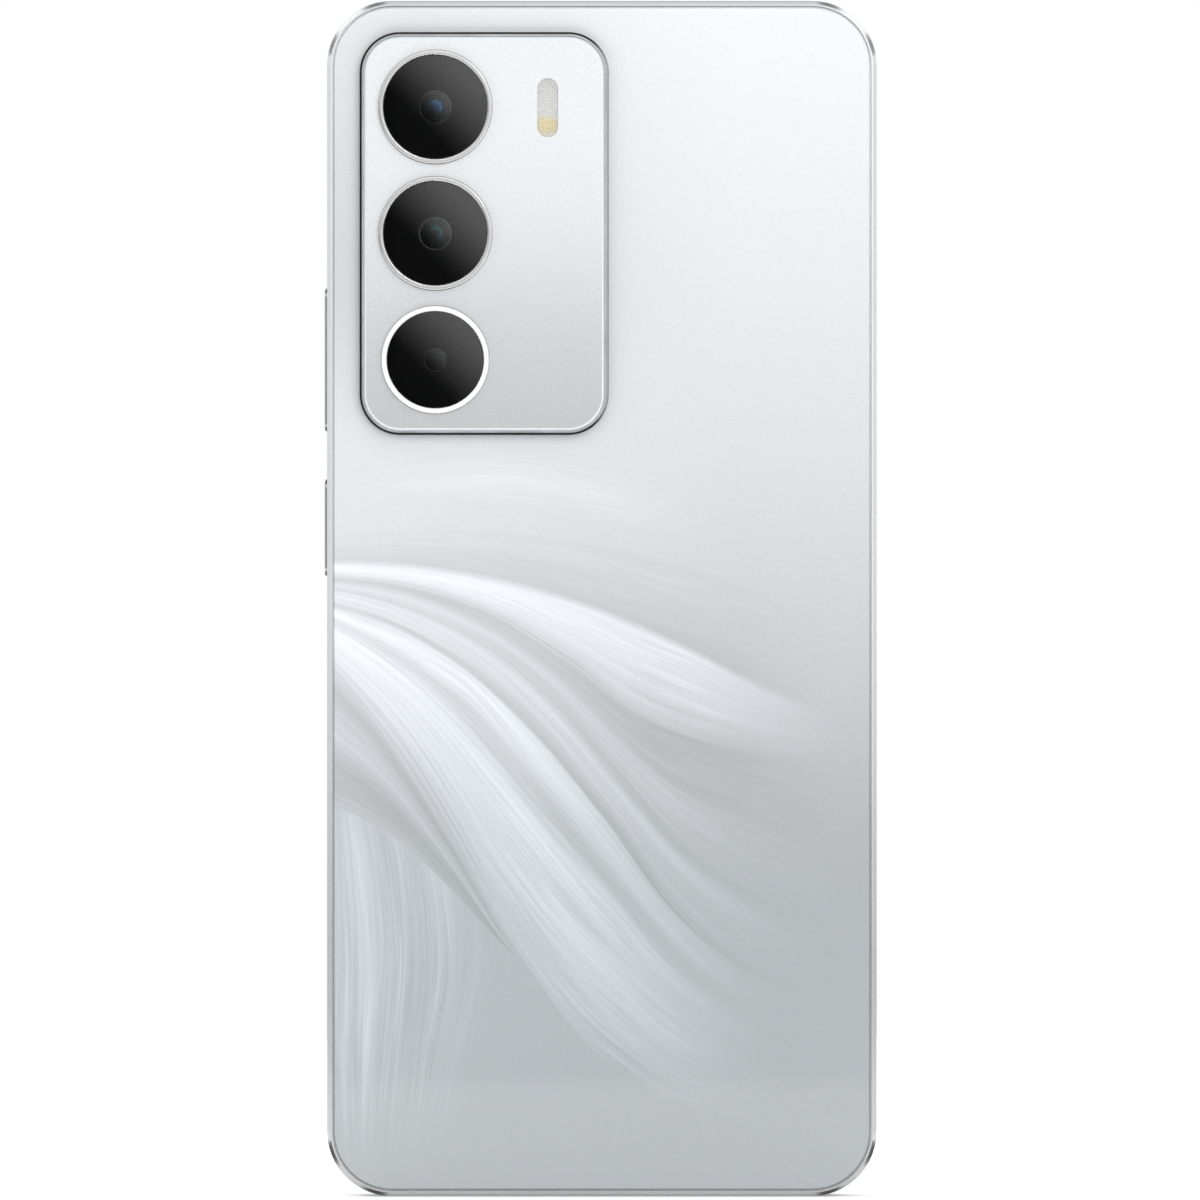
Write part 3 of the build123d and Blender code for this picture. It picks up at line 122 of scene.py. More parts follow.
class Nodes(Tree):
    """One material's node tree."""

    def __init__(self, name):
        super().__init__(bpy.data.materials.new(name), "ShaderNodeOutputMaterial")
        self.place = self.add("ShaderNodeTexCoord").outputs["Object"]

    def math(self, operation, *values, clamp=False):
        """The result of a sum on one or two values."""
        node = self.add("ShaderNodeMath", operation=operation, use_clamp=clamp)
        for value, socket in zip(values, node.inputs):
            self.plug(value, socket)
        return node.outputs[0]

    def axes(self, vector=None):
        """The three parts of a vector, or of the object's coordinates."""
        node = self.add("ShaderNodeSeparateXYZ")
        self.plug(self.place if vector is None else vector, node.inputs[0])
        return node.outputs

    def vector(self, x, y, z):
        """A vector from its three parts."""
        node = self.add("ShaderNodeCombineXYZ")
        for value, socket in zip((x, y, z), node.inputs):
            self.plug(value, socket)
        return node.outputs[0]

    def facing(self):
        """The three parts of the surface's own normal: towards the keys, the rear and the top."""
        place = self.add("ShaderNodeTexCoord")
        return self.axes(place.outputs["Normal"])

    def stretch(self, x, y, z):
        """The object's coordinates, scaled along each axis."""
        node = self.add("ShaderNodeMapping")
        self.plug(self.place, node.inputs["Vector"])
        node.inputs["Scale"].default_value = (x, y, z)
        return node.outputs[0]

    def noise(self, scale, detail=2.0, roughness=0.5, vector=None):
        """Cloudy noise, from 0 to 1."""
        node = self.add("ShaderNodeTexNoise")
        self.plug(self.place if vector is None else vector, node.inputs["Vector"])
        node.inputs["Scale"].default_value = scale
        node.inputs["Detail"].default_value = detail
        node.inputs["Roughness"].default_value = roughness
        return node.outputs["Fac"]

    def cells(self, scale, vector=None, feature="F1"):
        """The distance from the middle of the nearest cell, or from its edge, in cell widths."""
        node = self.add("ShaderNodeTexVoronoi", feature=feature)
        self.plug(self.place if vector is None else vector, node.inputs["Vector"])
        node.inputs["Scale"].default_value = scale
        return node.outputs["Distance"]

    def spread(self, noise, low, high):
        """Noise over its usual range, spread over a new one."""
        return self.between(noise, 0.3, 0.7, low, high)

    def ramp(self, value, *stops):
        """A grey level that follows stops of (place, level), each from 0 to 1."""
        node = self.add("ShaderNodeFloatCurve")
        self.plug(value, node.inputs["Value"])
        set_curve(node, stops, "AUTO_CLAMPED")
        return node.outputs[0]

    def shades(self, value, *stops):
        """A colour that follows stops of (place, (red, green, blue))."""
        node = self.add("ShaderNodeValToRGB")
        self.plug(value, node.inputs[0])
        elements = node.color_ramp.elements
        while len(elements) < len(stops):
            elements.new(1.0)
        for element, (place, colour) in zip(elements, stops):
            element.position = place
            element.color = (*colour, 1.0)
        return node.outputs[0]

    def grey(self, level, tint=(1.0, 1.0, 1.0)):
        """A display grey level, from 0 to 1, as a linear colour with a slight tint."""
        linear = self.math("POWER", level, 2.2)
        parts = [self.math("MULTIPLY", linear, part) for part in tint]
        node = self.add("ShaderNodeCombineColor")
        for value, socket in zip(parts, node.inputs):
            self.plug(value, socket)
        return node.outputs[0]

    def bump(self, height, depth):
        """A surface normal that leans with a height. The depth, in metres, is that of a height of 1."""
        node = self.add("ShaderNodeBump")
        node.inputs["Strength"].default_value = 1.0
        node.inputs["Distance"].default_value = depth
        self.plug(height, node.inputs["Height"])
        return node.outputs[0]

    def shader(self, **inputs):
        """A Principled shader. Underscores in the names of its inputs stand for spaces."""
        node = self.add("ShaderNodeBsdfPrincipled")
        for name, value in inputs.items():
            socket = node.inputs[name.replace("_", " ")]
            self.plug((*value, 1.0) if isinstance(value, tuple) else value, socket)
        return node.outputs[0]

    def finish_glass(self, surface, tint=(1.0, 1.0, 1.0)):
        """The surface, except that light from lamps passes straight through it."""
        clear = self.add("ShaderNodeBsdfTransparent")
        clear.inputs["Color"].default_value = (*tint, 1.0)
        shadow = self.add("ShaderNodeLightPath").outputs["Is Shadow Ray"]
        return self.finish(self.mix_shaders(shadow, surface, clear.outputs[0]))


def is_colour(value):
    """Whether a value is a colour or a socket that carries one."""
    return isinstance(value, tuple) or getattr(value, "type", "") == "RGBA"


def set_curve(node, stops, handles):
    """Gives a Float Curve node its points, with the ends held level."""
    mapping = node.mapping
    mapping.extend = "HORIZONTAL"
    curve = mapping.curves[0]
    while len(curve.points) < len(stops):
        curve.points.new(0.5, 0.5)
    for point, (place, level) in zip(curve.points, stops):
        point.location = (place, level)
        point.handle_type = handles
    mapping.update()


def from_lens(nodes, *heights):
    """The distance from the axis of the nearest of the lenses at these heights, in metres."""
    x, _, z = nodes.axes()
    across = nodes.math("SUBTRACT", x, LENS_X)
    nearest = None
    for height in heights:
        up = nodes.math("SUBTRACT", z, height)
        squares = nodes.math("ADD", nodes.math("MULTIPLY", across, across), nodes.math("MULTIPLY", up, up))
        away = nodes.math("SQRT", squares)
        nearest = away if nearest is None else nodes.math("MINIMUM", nearest, away)
    return nearest


# Rear cover: a pale gradient, partly painted shade, with a flowing feather print, under a clear coat


class FeatherPrint:
    """Lays feather-like petals over the cover's tone, from the back one to the front one."""

    def __init__(self, nodes, across, up):
        self.nodes = nodes
        self.across = across
        self.up = up
        self.base = cover_print_and_shade(nodes, across, up)
        self.tone = self.base
        self.count = 0

    def edge(self, along, points, along_size, size):
        """A petal's edge: a smooth curve through points in millimetres."""
        node = self.nodes.add("ShaderNodeFloatCurve")
        self.nodes.plug(along, node.inputs["Value"])
        set_curve(node, [(a * MM / along_size, h * MM / size) for a, h in points], "AUTO")
        return node.outputs[0]

    def petal(self, top, bottom, profile, strands, hair, fade, soft, upright=False):
        """One petal between two edges.

        profile is its tone across, from the top edge to the bottom one, as a change from -1 to 1.
        strands is how many broad streaks cross it and hair how strong its streaks and fine lines are.
        fade is the stretch along it, in millimetres, over which it appears and goes.
        soft is how wide its top and bottom edges blur, in millimetres.
        """
        nodes = self.nodes
        self.count += 1
        along, height = (self.up, self.across) if upright else (self.across, self.up)
        along_size, size = (LENGTH, WIDTH) if upright else (WIDTH, LENGTH)
        high = self.edge(along, top, along_size, size)
        low = self.edge(along, bottom, along_size, size)
        below = nodes.math("SUBTRACT", high, height)
        above = nodes.math("SUBTRACT", height, low)
        span = nodes.math("MAXIMUM", nodes.math("SUBTRACT", high, low), 0.001)
        place = nodes.math("DIVIDE", below, span, clamp=True)
        slow = nodes.vector(nodes.math("MULTIPLY", along, 3.0), place, self.count)
        drift = nodes.noise(1.0, 1.0, vector=slow)
        bent = nodes.math("ADD", place, nodes.between(drift, 0.0, 1.0, -0.09, 0.09))
        level = nodes.ramp(bent, *[(a, 0.5 + change / 2) for a, change in profile])
        change = nodes.between(level, 0.0, 1.0, -1.0, 1.0)
        for fineness, length, strength in ((1.0, 2.0, 1.0), (5.0, 4.0, 0.9), (17.0, 7.0, 1.0)):
            lines = self.lines(bent, along, strands * fineness, length)
            change = nodes.math("ADD", change, nodes.math("MULTIPLY", lines, hair * strength))
        start, full, going, gone = [a * MM / along_size for a in fade]
        share = nodes.between(below, 0.0, soft[0] * MM / size, smooth=True)
        share = nodes.math("MULTIPLY", share, nodes.between(above, 0.0, soft[1] * MM / size, smooth=True))
        share = nodes.math("MULTIPLY", share, nodes.between(along, start, full, smooth=True))
        share = nodes.math("MULTIPLY", share, nodes.between(along, going, gone, 1.0, 0.0, smooth=True))
        self.tone = nodes.blend(share, self.tone, nodes.math("ADD", self.base, change))

    def lines(self, place, along, count, length):
        """Long thin streaks that run along a petal, from -1 to 1."""
        nodes = self.nodes
        across = nodes.math("MULTIPLY", place, count)
        down = nodes.math("MULTIPLY", along, length)
        level = nodes.noise(1.0, 2.0, 0.6, nodes.vector(across, down, self.count))
        return nodes.between(level, 0.28, 0.72, -1.0, 1.0)


def cover_print_and_shade(nodes, across, up):
    """The cover's pale tone: grey at the foot, near white at the top, and a little lifted near the keys. The
    grey towards the foot is partly the print's own gradient and partly painted shade.
    """
    # Partly painted shade: the tone darkens from the top down to the foot.
    lower_stops = (0.0, 0.670), (0.20, 0.670), (0.30, 0.685), (0.42, 0.755)
    upper_stops = (0.57, 0.835), (0.70, 0.885), (0.83, 0.93), (1.0, 0.98)
    base = nodes.ramp(up, *lower_stops, *upper_stops)
    lift = nodes.ramp(up, (0.0, 0.50), (0.45, 0.53), (0.62, 0.52), (0.80, 0.465), (1.0, 0.48))
    near_keys = nodes.between(across, 0.0, 0.75, 2.0, 0.0)
    return nodes.math("ADD", base, nodes.math("MULTIPLY", nodes.math("SUBTRACT", lift, 0.5), near_keys))


def rear_cover_print():
    """The cover's gradient, partly painted shade, and its feathers under a clear coat, cooler towards the
    foot.
    """
    nodes = Nodes("rear_cover_print")
    x, _, z = nodes.axes()
    across = nodes.math("DIVIDE", nodes.math("SUBTRACT", SIDE, x), WIDTH)
    up = nodes.math("DIVIDE", z, LENGTH)
    feathers = FeatherPrint(nodes, across, up)
    lay_feathers(feathers)
    cool = nodes.grey(feathers.tone, (0.94, 1.0, 1.05))
    pale = nodes.grey(feathers.tone, (0.985, 1.0, 1.035))
    pearl = nodes.noise(9000.0, 1.0)
    return nodes.finish(
        nodes.shader(
            Base_Color=nodes.blend(nodes.between(up, 0.25, 0.65), cool, pale),
            Roughness=nodes.spread(pearl, 0.26, 0.40),
            Metallic=0.08,
            Normal=nodes.bump(pearl, 0.000002),
            Coat_Weight=1.0,
            Coat_Roughness=0.04,
            Coat_Normal=nodes.bump(nodes.noise(30.0, 1.0), 0.00001),
        )
    )


def lay_feathers(feathers):
    """The petals of the print, back to front. Places are millimetres from the keys' side and up."""
    wisp_top = [(0, 99), (20, 105), (38, 104), (54, 97), (76.2, 91)]
    wisp_low = [(0, 95), (20, 95.5), (38, 92.5), (54, 89), (76.2, 85)]
    top = [(0, 92), (20, 92.6), (40, 90), (60, 84), (76.2, 76)]
    bright = [(0, 88), (18, 86.6), (33, 83), (48, 77), (62, 70), (76.2, 65)]
    crease = [(0, 86), (20, 82), (33, 74.5), (44, 66.5), (58, 62), (76.2, 60)]
    fan = [(0, 84.5), (16, 80), (28, 72.5), (40, 59.5), (50, 48.5), (62, 40.5), (76.2, 35)]
    main = [(0, 82), (14, 76.5), (26, 67), (38, 53), (48, 39.5), (60, 30), (76.2, 24)]
    hem = [(0, 74), (9, 63), (17, 50), (25, 35.5), (33, 24), (45, 14.5), (60, 9), (76.2, 6)]
    fold = [(0, 54), (8, 50.5), (16, 43.5), (25, 34), (40, 22)]
    left = [(0, 2.0), (20, 0.5), (40, 0.2), (60, 0.1)]
    right = [(0, 17.0), (20, 22.0), (36, 24.0), (60, 12.0)]
    feathers.petal(
        wisp_top, wisp_low, [(0.0, 0.0), (0.3, 0.012), (0.7, 0.02), (1.0, 0.0)],
        strands=6.0, hair=0.018, fade=(0, 16, 34, 60), soft=(6.0, 3.0),
    )
    feathers.petal(
        right, left, [(0.0, 0.0), (0.3, 0.04), (0.6, 0.01), (0.8, 0.05), (1.0, 0.03)],
        strands=6.0, hair=0.04, fade=(0, 24, 46, 60), soft=(9.0, 1.0), upright=True,
    )
    feathers.petal(
        top, bright, [(0.0, -0.03), (0.25, -0.01), (0.7, -0.03), (1.0, -0.05)],
        strands=3.0, hair=0.012, fade=(-2, -1, 46, 72), soft=(1.2, 0.3),
    )
    feathers.petal(
        crease, fan, [(0.0, -0.05), (0.12, -0.05), (0.4, -0.03), (0.7, 0.03), (1.0, 0.0)],
        strands=3.0, hair=0.02, fade=(-2, -1, 44, 74), soft=(0.4, 0.3),
    )
    feathers.petal(
        bright, crease, [(0.0, 0.08), (0.3, 0.10), (0.65, 0.07), (0.85, 0.03), (1.0, -0.03)],
        strands=5.0, hair=0.028, fade=(-2, -1, 46, 74), soft=(0.7, 0.4),
    )
    feathers.petal(
        hem, fold, [(0.0, 0.03), (0.15, -0.04), (0.45, 0.02), (0.7, -0.05), (1.0, -0.01)],
        strands=3.0, hair=0.02, fade=(-2, -1, 24, 34), soft=(0.4, 0.5),
    )
    feathers.petal(
        fan, main, [(0.0, -0.03), (0.12, 0.0), (0.3, 0.06), (0.7, 0.03), (1.0, -0.05)],
        strands=5.0, hair=0.03, fade=(-2, -1, 36, 70), soft=(0.3, 0.3),
    )
    feathers.petal(
        main, hem,
        [(0.0, 0.08), (0.10, 0.12), (0.22, 0.03), (0.4, 0.12), (0.65, 0.11), (0.88, 0.05), (1.0, 0.01)],
        strands=7.0, hair=0.036, fade=(-2, -1, 30, 64), soft=(0.35, 0.6),
    )


# Casing finishes


def silver_paint(nodes, tone, flakes):
    """Silver paint of a given tone, with fine flakes under a satin clear coat."""
    return nodes.finish(
        nodes.shader(
            Base_Color=nodes.grey(tone, SILVER_TINT),
            Metallic=0.75,
            Roughness=nodes.spread(nodes.noise(5000.0), 0.16, 0.24),
            Normal=nodes.bump(flakes, 0.0000003),
            Coat_Weight=0.6,
            Coat_Roughness=0.05,
        )
    )


def frame_paint():
    """The frame's paint, with painted shade that deepens it towards the foot like the cover and at its very
    top, and painted reflections that darken its edge where it turns a corner.
    """
    nodes = Nodes("frame_paint")
    _, _, z = nodes.axes()
    # Painted shade: darker towards the foot and along the top edge.
    lower_stops = (0.0, 0.68), (0.03, 0.74), (0.17, 0.80), (0.42, 0.96)
    level = nodes.ramp(nodes.math("DIVIDE", z, LENGTH), *lower_stops, (0.6, 1.0), (0.985, 1.0), (1.0, 0.72))
    # Painted shade on the flat walls and painted reflections round the corners.
    level = nodes.math("MULTIPLY", level, painted_frame_shade(nodes, z))
    flakes = nodes.cells(14000.0)
    glint = nodes.between(flakes, 0.0, 0.8, 0.008, -0.008)
    cloud = nodes.spread(nodes.noise(60.0, 3.0), -0.006, 0.006)
    tone = nodes.math("ADD", nodes.math("ADD", glint, cloud), level)
    return silver_paint(nodes, tone, flakes)


def painted_frame_shade(nodes, z):
    """Painted shade on the frame: the share of the paint's tone that the flat walls keep, and painted
    reflections that darken the slanted edge round its corners.
    """
    # Painted shade: the flat walls keep this share of the tone.
    painted_wall_shade = 0.76
    along, rear, upright = nodes.facing()
    turn = nodes.math("ARCTAN2", nodes.math("ABSOLUTE", upright), nodes.math("ABSOLUTE", along))
    share = nodes.math("DIVIDE", turn, math.pi / 2)
    # Painted reflections that darken the slanted edge at the lower and the upper corners.
    low = nodes.ramp(share, (0.08, 1.0), (0.22, 0.30), (0.42, 1.0), (0.64, 1.0), (0.82, 0.36), (0.95, 1.0))
    high = nodes.ramp(share, (0.08, 1.0), (0.22, 0.58), (0.40, 1.0), (0.64, 1.0), (0.82, 0.55), (0.95, 1.0))
    shade = nodes.blend(nodes.math("GREATER_THAN", z, MIDDLE_Z), low, high)
    return nodes.blend(nodes.between(rear, 0.3, 0.6), painted_wall_shade, shade)


def key_paint():
    """The keys' paint, with painted shade that darkens them round their ends."""
    nodes = Nodes("key_paint")
    _, _, upright = nodes.facing()
    # Painted shade round the ends of the keys.
    painted_end_shade = nodes.between(nodes.math("ABSOLUTE", upright), 0.25, 0.7)
    flakes = nodes.cells(14000.0)
    tone = nodes.blend(painted_end_shade, nodes.between(flakes, 0.0, 0.8, 0.80, 0.77), 0.22)
    return silver_paint(nodes, tone, flakes)


def island_depth(nodes):
    """How far a place on the camera island lies inside the island's rounded outline."""
    x, _, z = nodes.axes()
    sides = []
    for place, low, high in ((x, ISLAND_LOW.x, ISLAND_HIGH.x), (z, ISLAND_LOW.z, ISLAND_HIGH.z)):
        away = nodes.math("ABSOLUTE", nodes.math("SUBTRACT", place, (low + high) / 2))
        sides.append(nodes.math("SUBTRACT", away, (high - low) / 2 - ISLAND_RADIUS))
    squares = []
    for side in sides:
        beyond = nodes.math("MAXIMUM", side, 0.0)
        squares.append(nodes.math("MULTIPLY", beyond, beyond))
    corner = nodes.math("SQRT", nodes.math("ADD", *squares))
    straight = nodes.math("MINIMUM", nodes.math("MAXIMUM", *sides), 0.0)
    return nodes.math("SUBTRACT", ISLAND_RADIUS, nodes.math("ADD", corner, straight))


def island_rim():
    """Polished metal with fine lapping lines. Painted shade darkens its outer edge, least on the far side,
    where the main light falls.
    """
    nodes = Nodes("island_rim")
    lines = nodes.noise(1.0, 2.0, vector=nodes.stretch(300.0, 9000.0, 300.0))
    depth = island_depth(nodes)
    x, _, _ = nodes.axes()
    from_far_side = nodes.math("SUBTRACT", x, ISLAND_LOW.x)
    # Painted shade on the outer edge, lighter towards the far side.
    painted_edge_shade = nodes.between(from_far_side, 0.3 * MM, 2.0 * MM, 0.62, 0.17)
    edge = nodes.between(depth, 0.22 * MM, 0.36 * MM, 1.0, 0.0)
    tone = nodes.blend(edge, nodes.spread(lines, 0.78, 0.86), painted_edge_shade)
    return nodes.finish(
        nodes.shader(
            Base_Color=nodes.grey(tone, (0.98, 1.0, 1.03)),
            Metallic=1.0,
            Roughness=nodes.spread(lines, 0.14, 0.24),
            Normal=nodes.bump(lines, 0.000003),
        )
    )


def island_plate():
    """Glossy silver-white under a clear coat, with painted shade deepening it towards the bottom and a
    painted highlight on its bevelled cut edge.
    """
    nodes = Nodes("island_plate")
    _, _, z = nodes.axes()
    up = nodes.between(z, ISLAND_LOW.z, ISLAND_HIGH.z)
    # Painted shade: darker towards the bottom.
    tone = nodes.ramp(up, (0.0, 0.755), (0.26, 0.82), (0.46, 0.89), (0.71, 0.943), (1.0, 0.965))
    grain = nodes.noise(7000.0, 1.0)
    tone = nodes.math("ADD", tone, nodes.spread(grain, -0.004, 0.004))
    _, rear, _ = nodes.facing()
    # Painted highlight on the bevelled edge.
    painted_bevel_highlight = nodes.between(rear, 0.75, 0.95, 1.0, 0.0)
    return nodes.finish(
        nodes.shader(
            Base_Color=nodes.grey(nodes.blend(painted_bevel_highlight, tone, 1.0), (0.975, 1.0, 1.025)),
            Metallic=0.1,
            Roughness=nodes.spread(grain, 0.26, 0.30),
            Coat_Weight=1.0,
            Coat_Roughness=0.03,
            Coat_Normal=nodes.bump(nodes.noise(60.0, 1.0), 0.000002),
        )
    )


def turned_metal(name, level, heights):
    """Metal turned on a lathe, with fine grooves round the lens axis."""
    nodes = Nodes(name)
    away = from_lens(nodes, *heights)
    groove = nodes.noise(1.0, 3.0, vector=nodes.vector(nodes.math("MULTIPLY", away, 30000.0), 0.0, 0.0))
    tone = nodes.math("ADD", nodes.spread(groove, -0.03, 0.03), level)
    return nodes.finish(
        nodes.shader(
            Base_Color=nodes.grey(tone),
            Metallic=1.0,
            Roughness=nodes.spread(groove, 0.12, 0.22),
            Normal=nodes.bump(groove, 0.0000015),
        )
    )


def white_lacquer():
    """White lacquer on the third lens ring, with a slight orange-peel surface."""
    nodes = Nodes("white_ring")
    peel = nodes.noise(2500.0, 1.0)
    tone = nodes.spread(peel, 0.975, 0.99)
    return nodes.finish(
        nodes.shader(
            Base_Color=nodes.grey(tone),
            Roughness=nodes.spread(peel, 0.22, 0.3),
            Coat_Weight=1.0,
            Coat_Roughness=0.05,
            Coat_Normal=nodes.bump(peel, 0.000004),
        )
    )


# Glass and optics


def lens_cover_glass():
    """Coated cover glass with a very slight crown and tilt, so that it mirrors a soft gradient."""
    nodes = Nodes("lens_cover_glass")
    crown_radius = 55.0 * MM
    tilt = 0.02
    x, _, z = nodes.axes()
    away = from_lens(nodes, MAIN_Z, WIDE_Z, DEPTH_Z)
    crown = nodes.math("MULTIPLY", nodes.math("MULTIPLY", away, away), -0.5 / crown_radius)
    slope = nodes.math("MULTIPLY", nodes.math("SUBTRACT", z, x), tilt)
    smudge = nodes.noise(350.0, 3.0)
    return nodes.finish_glass(
        nodes.shader(
            Base_Color=(0.93, 0.95, 0.97),
            Transmission_Weight=1.0,
            Roughness=nodes.between(smudge, 0.4, 0.8, 0.004, 0.012),
            IOR=1.6,
            Normal=nodes.bump(nodes.math("ADD", crown, slope), 1.0),
        )
    )


def coated_lens(name, rim, ring, heart, coated_above=0.0):
    """A deep front lens whose coating shifts in colour from its rim to its middle.

    A lens lower down the phone than coated_above has no coating, and looks black.
    """
    nodes = Nodes(name)
    _, _, z = nodes.axes()
    away = nodes.math("DIVIDE", from_lens(nodes, MAIN_Z, WIDE_Z, DEPTH_Z), DOME_RADIUS)
    edge = (0.001, 0.001, 0.0015)
    colour = nodes.shades(away, (0.0, heart), (0.25, heart), (0.38, ring), (0.52, rim), (0.75, edge))
    coated = nodes.math("GREATER_THAN", z, coated_above)
    fine = nodes.noise(3000.0, 2.0)
    return nodes.finish(
        nodes.shader(
            Base_Color=nodes.blend(coated, (0.001, 0.001, 0.001), colour),
            Metallic=1.0,
            Roughness=nodes.spread(fine, 0.03, 0.08),
            Coat_Weight=0.04,
            Coat_Roughness=0.02,
        )
    )


def lens_black():
    """Black ink and anodised barrels, with a fine matt grain."""
    nodes = Nodes("lens_black")
    grain = nodes.noise(9000.0, 2.0)
    tone = nodes.spread(grain, 0.015, 0.035)
    return nodes.finish(
        nodes.shader(
            Base_Color=nodes.grey(tone),
            Roughness=nodes.spread(grain, 0.45, 0.6),
            Normal=nodes.bump(grain, 0.000002),
        )
    )


def flash_diffuser():
    """The flash window, with fine moulded facets that spread its light."""
    nodes = Nodes("flash_diffuser")
    x, _, z = nodes.axes()
    facets = nodes.cells(1500.0, vector=nodes.vector(x, 0.0, z))
    ribs = nodes.math("PINGPONG", z, 0.3 * MM)
    height = nodes.math("ADD", nodes.math("MULTIPLY", facets, 0.15 * MM), ribs)
    source = LED_LOW.z + (LED_HIGH.z - LED_LOW.z) / 4
    away = nodes.math("ABSOLUTE", nodes.math("SUBTRACT", z, source))
    patch = nodes.math("ADD", away, nodes.between(facets, 0.0, 1.0, -0.5 * MM, 0.5 * MM))
    lit = nodes.between(patch, 0.6 * MM, 1.6 * MM, 1.0, 0.0, smooth=True)
    return nodes.finish_glass(
        nodes.shader(
            Base_Color=nodes.blend(lit, (0.99, 0.99, 0.98), (1.0, 0.92, 0.66)),
            Transmission_Weight=0.5,
            Roughness=nodes.between(facets, 0.0, 0.8, 0.10, 0.3),
            IOR=1.45,
            Normal=nodes.bump(height, 0.35),
        ),
        tint=(1.0, 1.0, 0.98),
    )


def flash_phosphor():
    """The flash's white board with its yellow phosphor square."""
    nodes = Nodes("flash_phosphor")
    _, y, _ = nodes.axes()
    raised = nodes.math("GREATER_THAN", y, LED_HIGH.y - 0.6 * MM)
    grain = nodes.noise(6000.0, 3.0)
    yellow = nodes.shades(grain, (0.3, (0.80, 0.62, 0.12)), (0.7, (0.95, 0.80, 0.30)))
    white = nodes.shades(grain, (0.3, (0.80, 0.80, 0.78)), (0.7, (0.90, 0.90, 0.88)))
    return nodes.finish(
        nodes.shader(
            Base_Color=nodes.blend(raised, white, yellow),
            Roughness=nodes.spread(grain, 0.55, 0.75),
            Normal=nodes.bump(grain, 0.00001),
        )
    )


def display_cover_glass():
    """Black glass over the switched-off panel, clear over the front camera."""
    nodes = Nodes("display_cover_glass")
    x, _, z = nodes.axes()
    up = nodes.math("SUBTRACT", z, (SELFIE_LOW.z + SELFIE_HIGH.z) / 2)
    squares = nodes.math("ADD", nodes.math("MULTIPLY", x, x), nodes.math("MULTIPLY", up, up))
    away = nodes.math("SQRT", squares)
    hole = nodes.math("LESS_THAN", away, CAMERA_HOLE_RADIUS)
    side_start = SIDE - DISPLAY_SIDE_BORDER
    end_start = MIDDLE_Z - DISPLAY_END_BORDER
    from_middle = nodes.math("ABSOLUTE", nodes.math("SUBTRACT", z, MIDDLE_Z))
    border_x = nodes.between(nodes.math("ABSOLUTE", x), side_start - BORDER_BLUR, side_start)
    border_z = nodes.between(from_middle, end_start - BORDER_BLUR, end_start)
    border = nodes.math("MAXIMUM", border_x, border_z)
    smudge = nodes.noise(45.0, 4.0, 0.6)
    tone = nodes.blend(border, 0.03, 0.012)
    return nodes.finish(
        nodes.shader(
            Base_Color=nodes.grey(tone, (0.95, 1.0, 1.1)),
            Roughness=nodes.between(smudge, 0.45, 0.75, 0.02, 0.07),
            Transmission_Weight=hole,
            IOR=1.5,
            Coat_Weight=0.4,
            Coat_Roughness=0.02,
        )
    )


# Finishes of the pieces inside


def moulded(name, level, rough=0.5, tint=(1.0, 1.0, 1.0)):
    """Moulded plastic or rubber with a fine grain."""
    nodes = Nodes(name)
    grain_size = 0.12 * MM
    grain = nodes.noise(1.0 / grain_size, 3.0, 0.6)
    cloud = nodes.noise(120.0, 2.0)
    tone = nodes.math("ADD", nodes.spread(cloud, -0.012, 0.012), level)
    return nodes.finish(
        nodes.shader(
            Base_Color=nodes.grey(tone, tint),
            Roughness=nodes.spread(grain, rough - 0.08, rough + 0.08),
            Normal=nodes.bump(grain, 0.000006),
        )
    )


def worked_metal(name, level, rough, along=(1.0, 1.0, 1.0)):
    """Rolled, drawn or blasted metal. Its lines run along an axis that is scaled down."""
    nodes = Nodes(name)
    grain = nodes.noise(4000.0, 3.0, 0.6, nodes.stretch(*along))
    tone = nodes.math("ADD", nodes.spread(grain, -0.03, 0.03), level)
    return nodes.finish(
        nodes.shader(
            Base_Color=nodes.grey(tone),
            Metallic=1.0,
            Roughness=nodes.spread(grain, rough - 0.08, rough + 0.1),
            Normal=nodes.bump(grain, 0.000004),
        )
    )


def woven_mesh():
    """Dark woven steel mesh."""
    nodes = Nodes("mesh_steel")
    pitch = 0.12 * MM
    waves = [nodes.math("SINE", nodes.math("MULTIPLY", part, 2 * math.pi / pitch)) for part in nodes.axes()]
    weave = nodes.math("MULTIPLY", waves[0], nodes.math("ADD", waves[1], waves[2]))
    wire = nodes.between(weave, -0.4, 0.6)
    return nodes.finish(
        nodes.shader(
            Base_Color=nodes.grey(nodes.between(wire, 0.0, 1.0, 0.12, 0.42)),
            Metallic=0.9,
            Roughness=nodes.between(wire, 0.0, 1.0, 0.6, 0.35),
            Normal=nodes.bump(wire, 0.00003),
        )
    )


def circuit_board():
    """Green solder mask with buried tracks and bright pads."""
    nodes = Nodes("circuit_board")
    x, _, z = nodes.axes()
    flat = nodes.vector(x, 0.0, z)
    tracks = nodes.cells(900.0, flat, "DISTANCE_TO_EDGE")
    track = nodes.between(tracks, 0.06, 0.10, 1.0, 0.0)
    pads = nodes.between(nodes.cells(450.0, flat), 0.12, 0.16, 1.0, 0.0)
    mask = nodes.blend(track, (0.012, 0.085, 0.07), (0.02, 0.14, 0.11))
    return nodes.finish(
        nodes.shader(
            Base_Color=nodes.blend(pads, mask, (0.75, 0.60, 0.28)),
            Metallic=pads,
            Roughness=nodes.between(pads, 0.0, 1.0, 0.32, 0.25),
            Normal=nodes.bump(track, 0.00002),
        )
    )


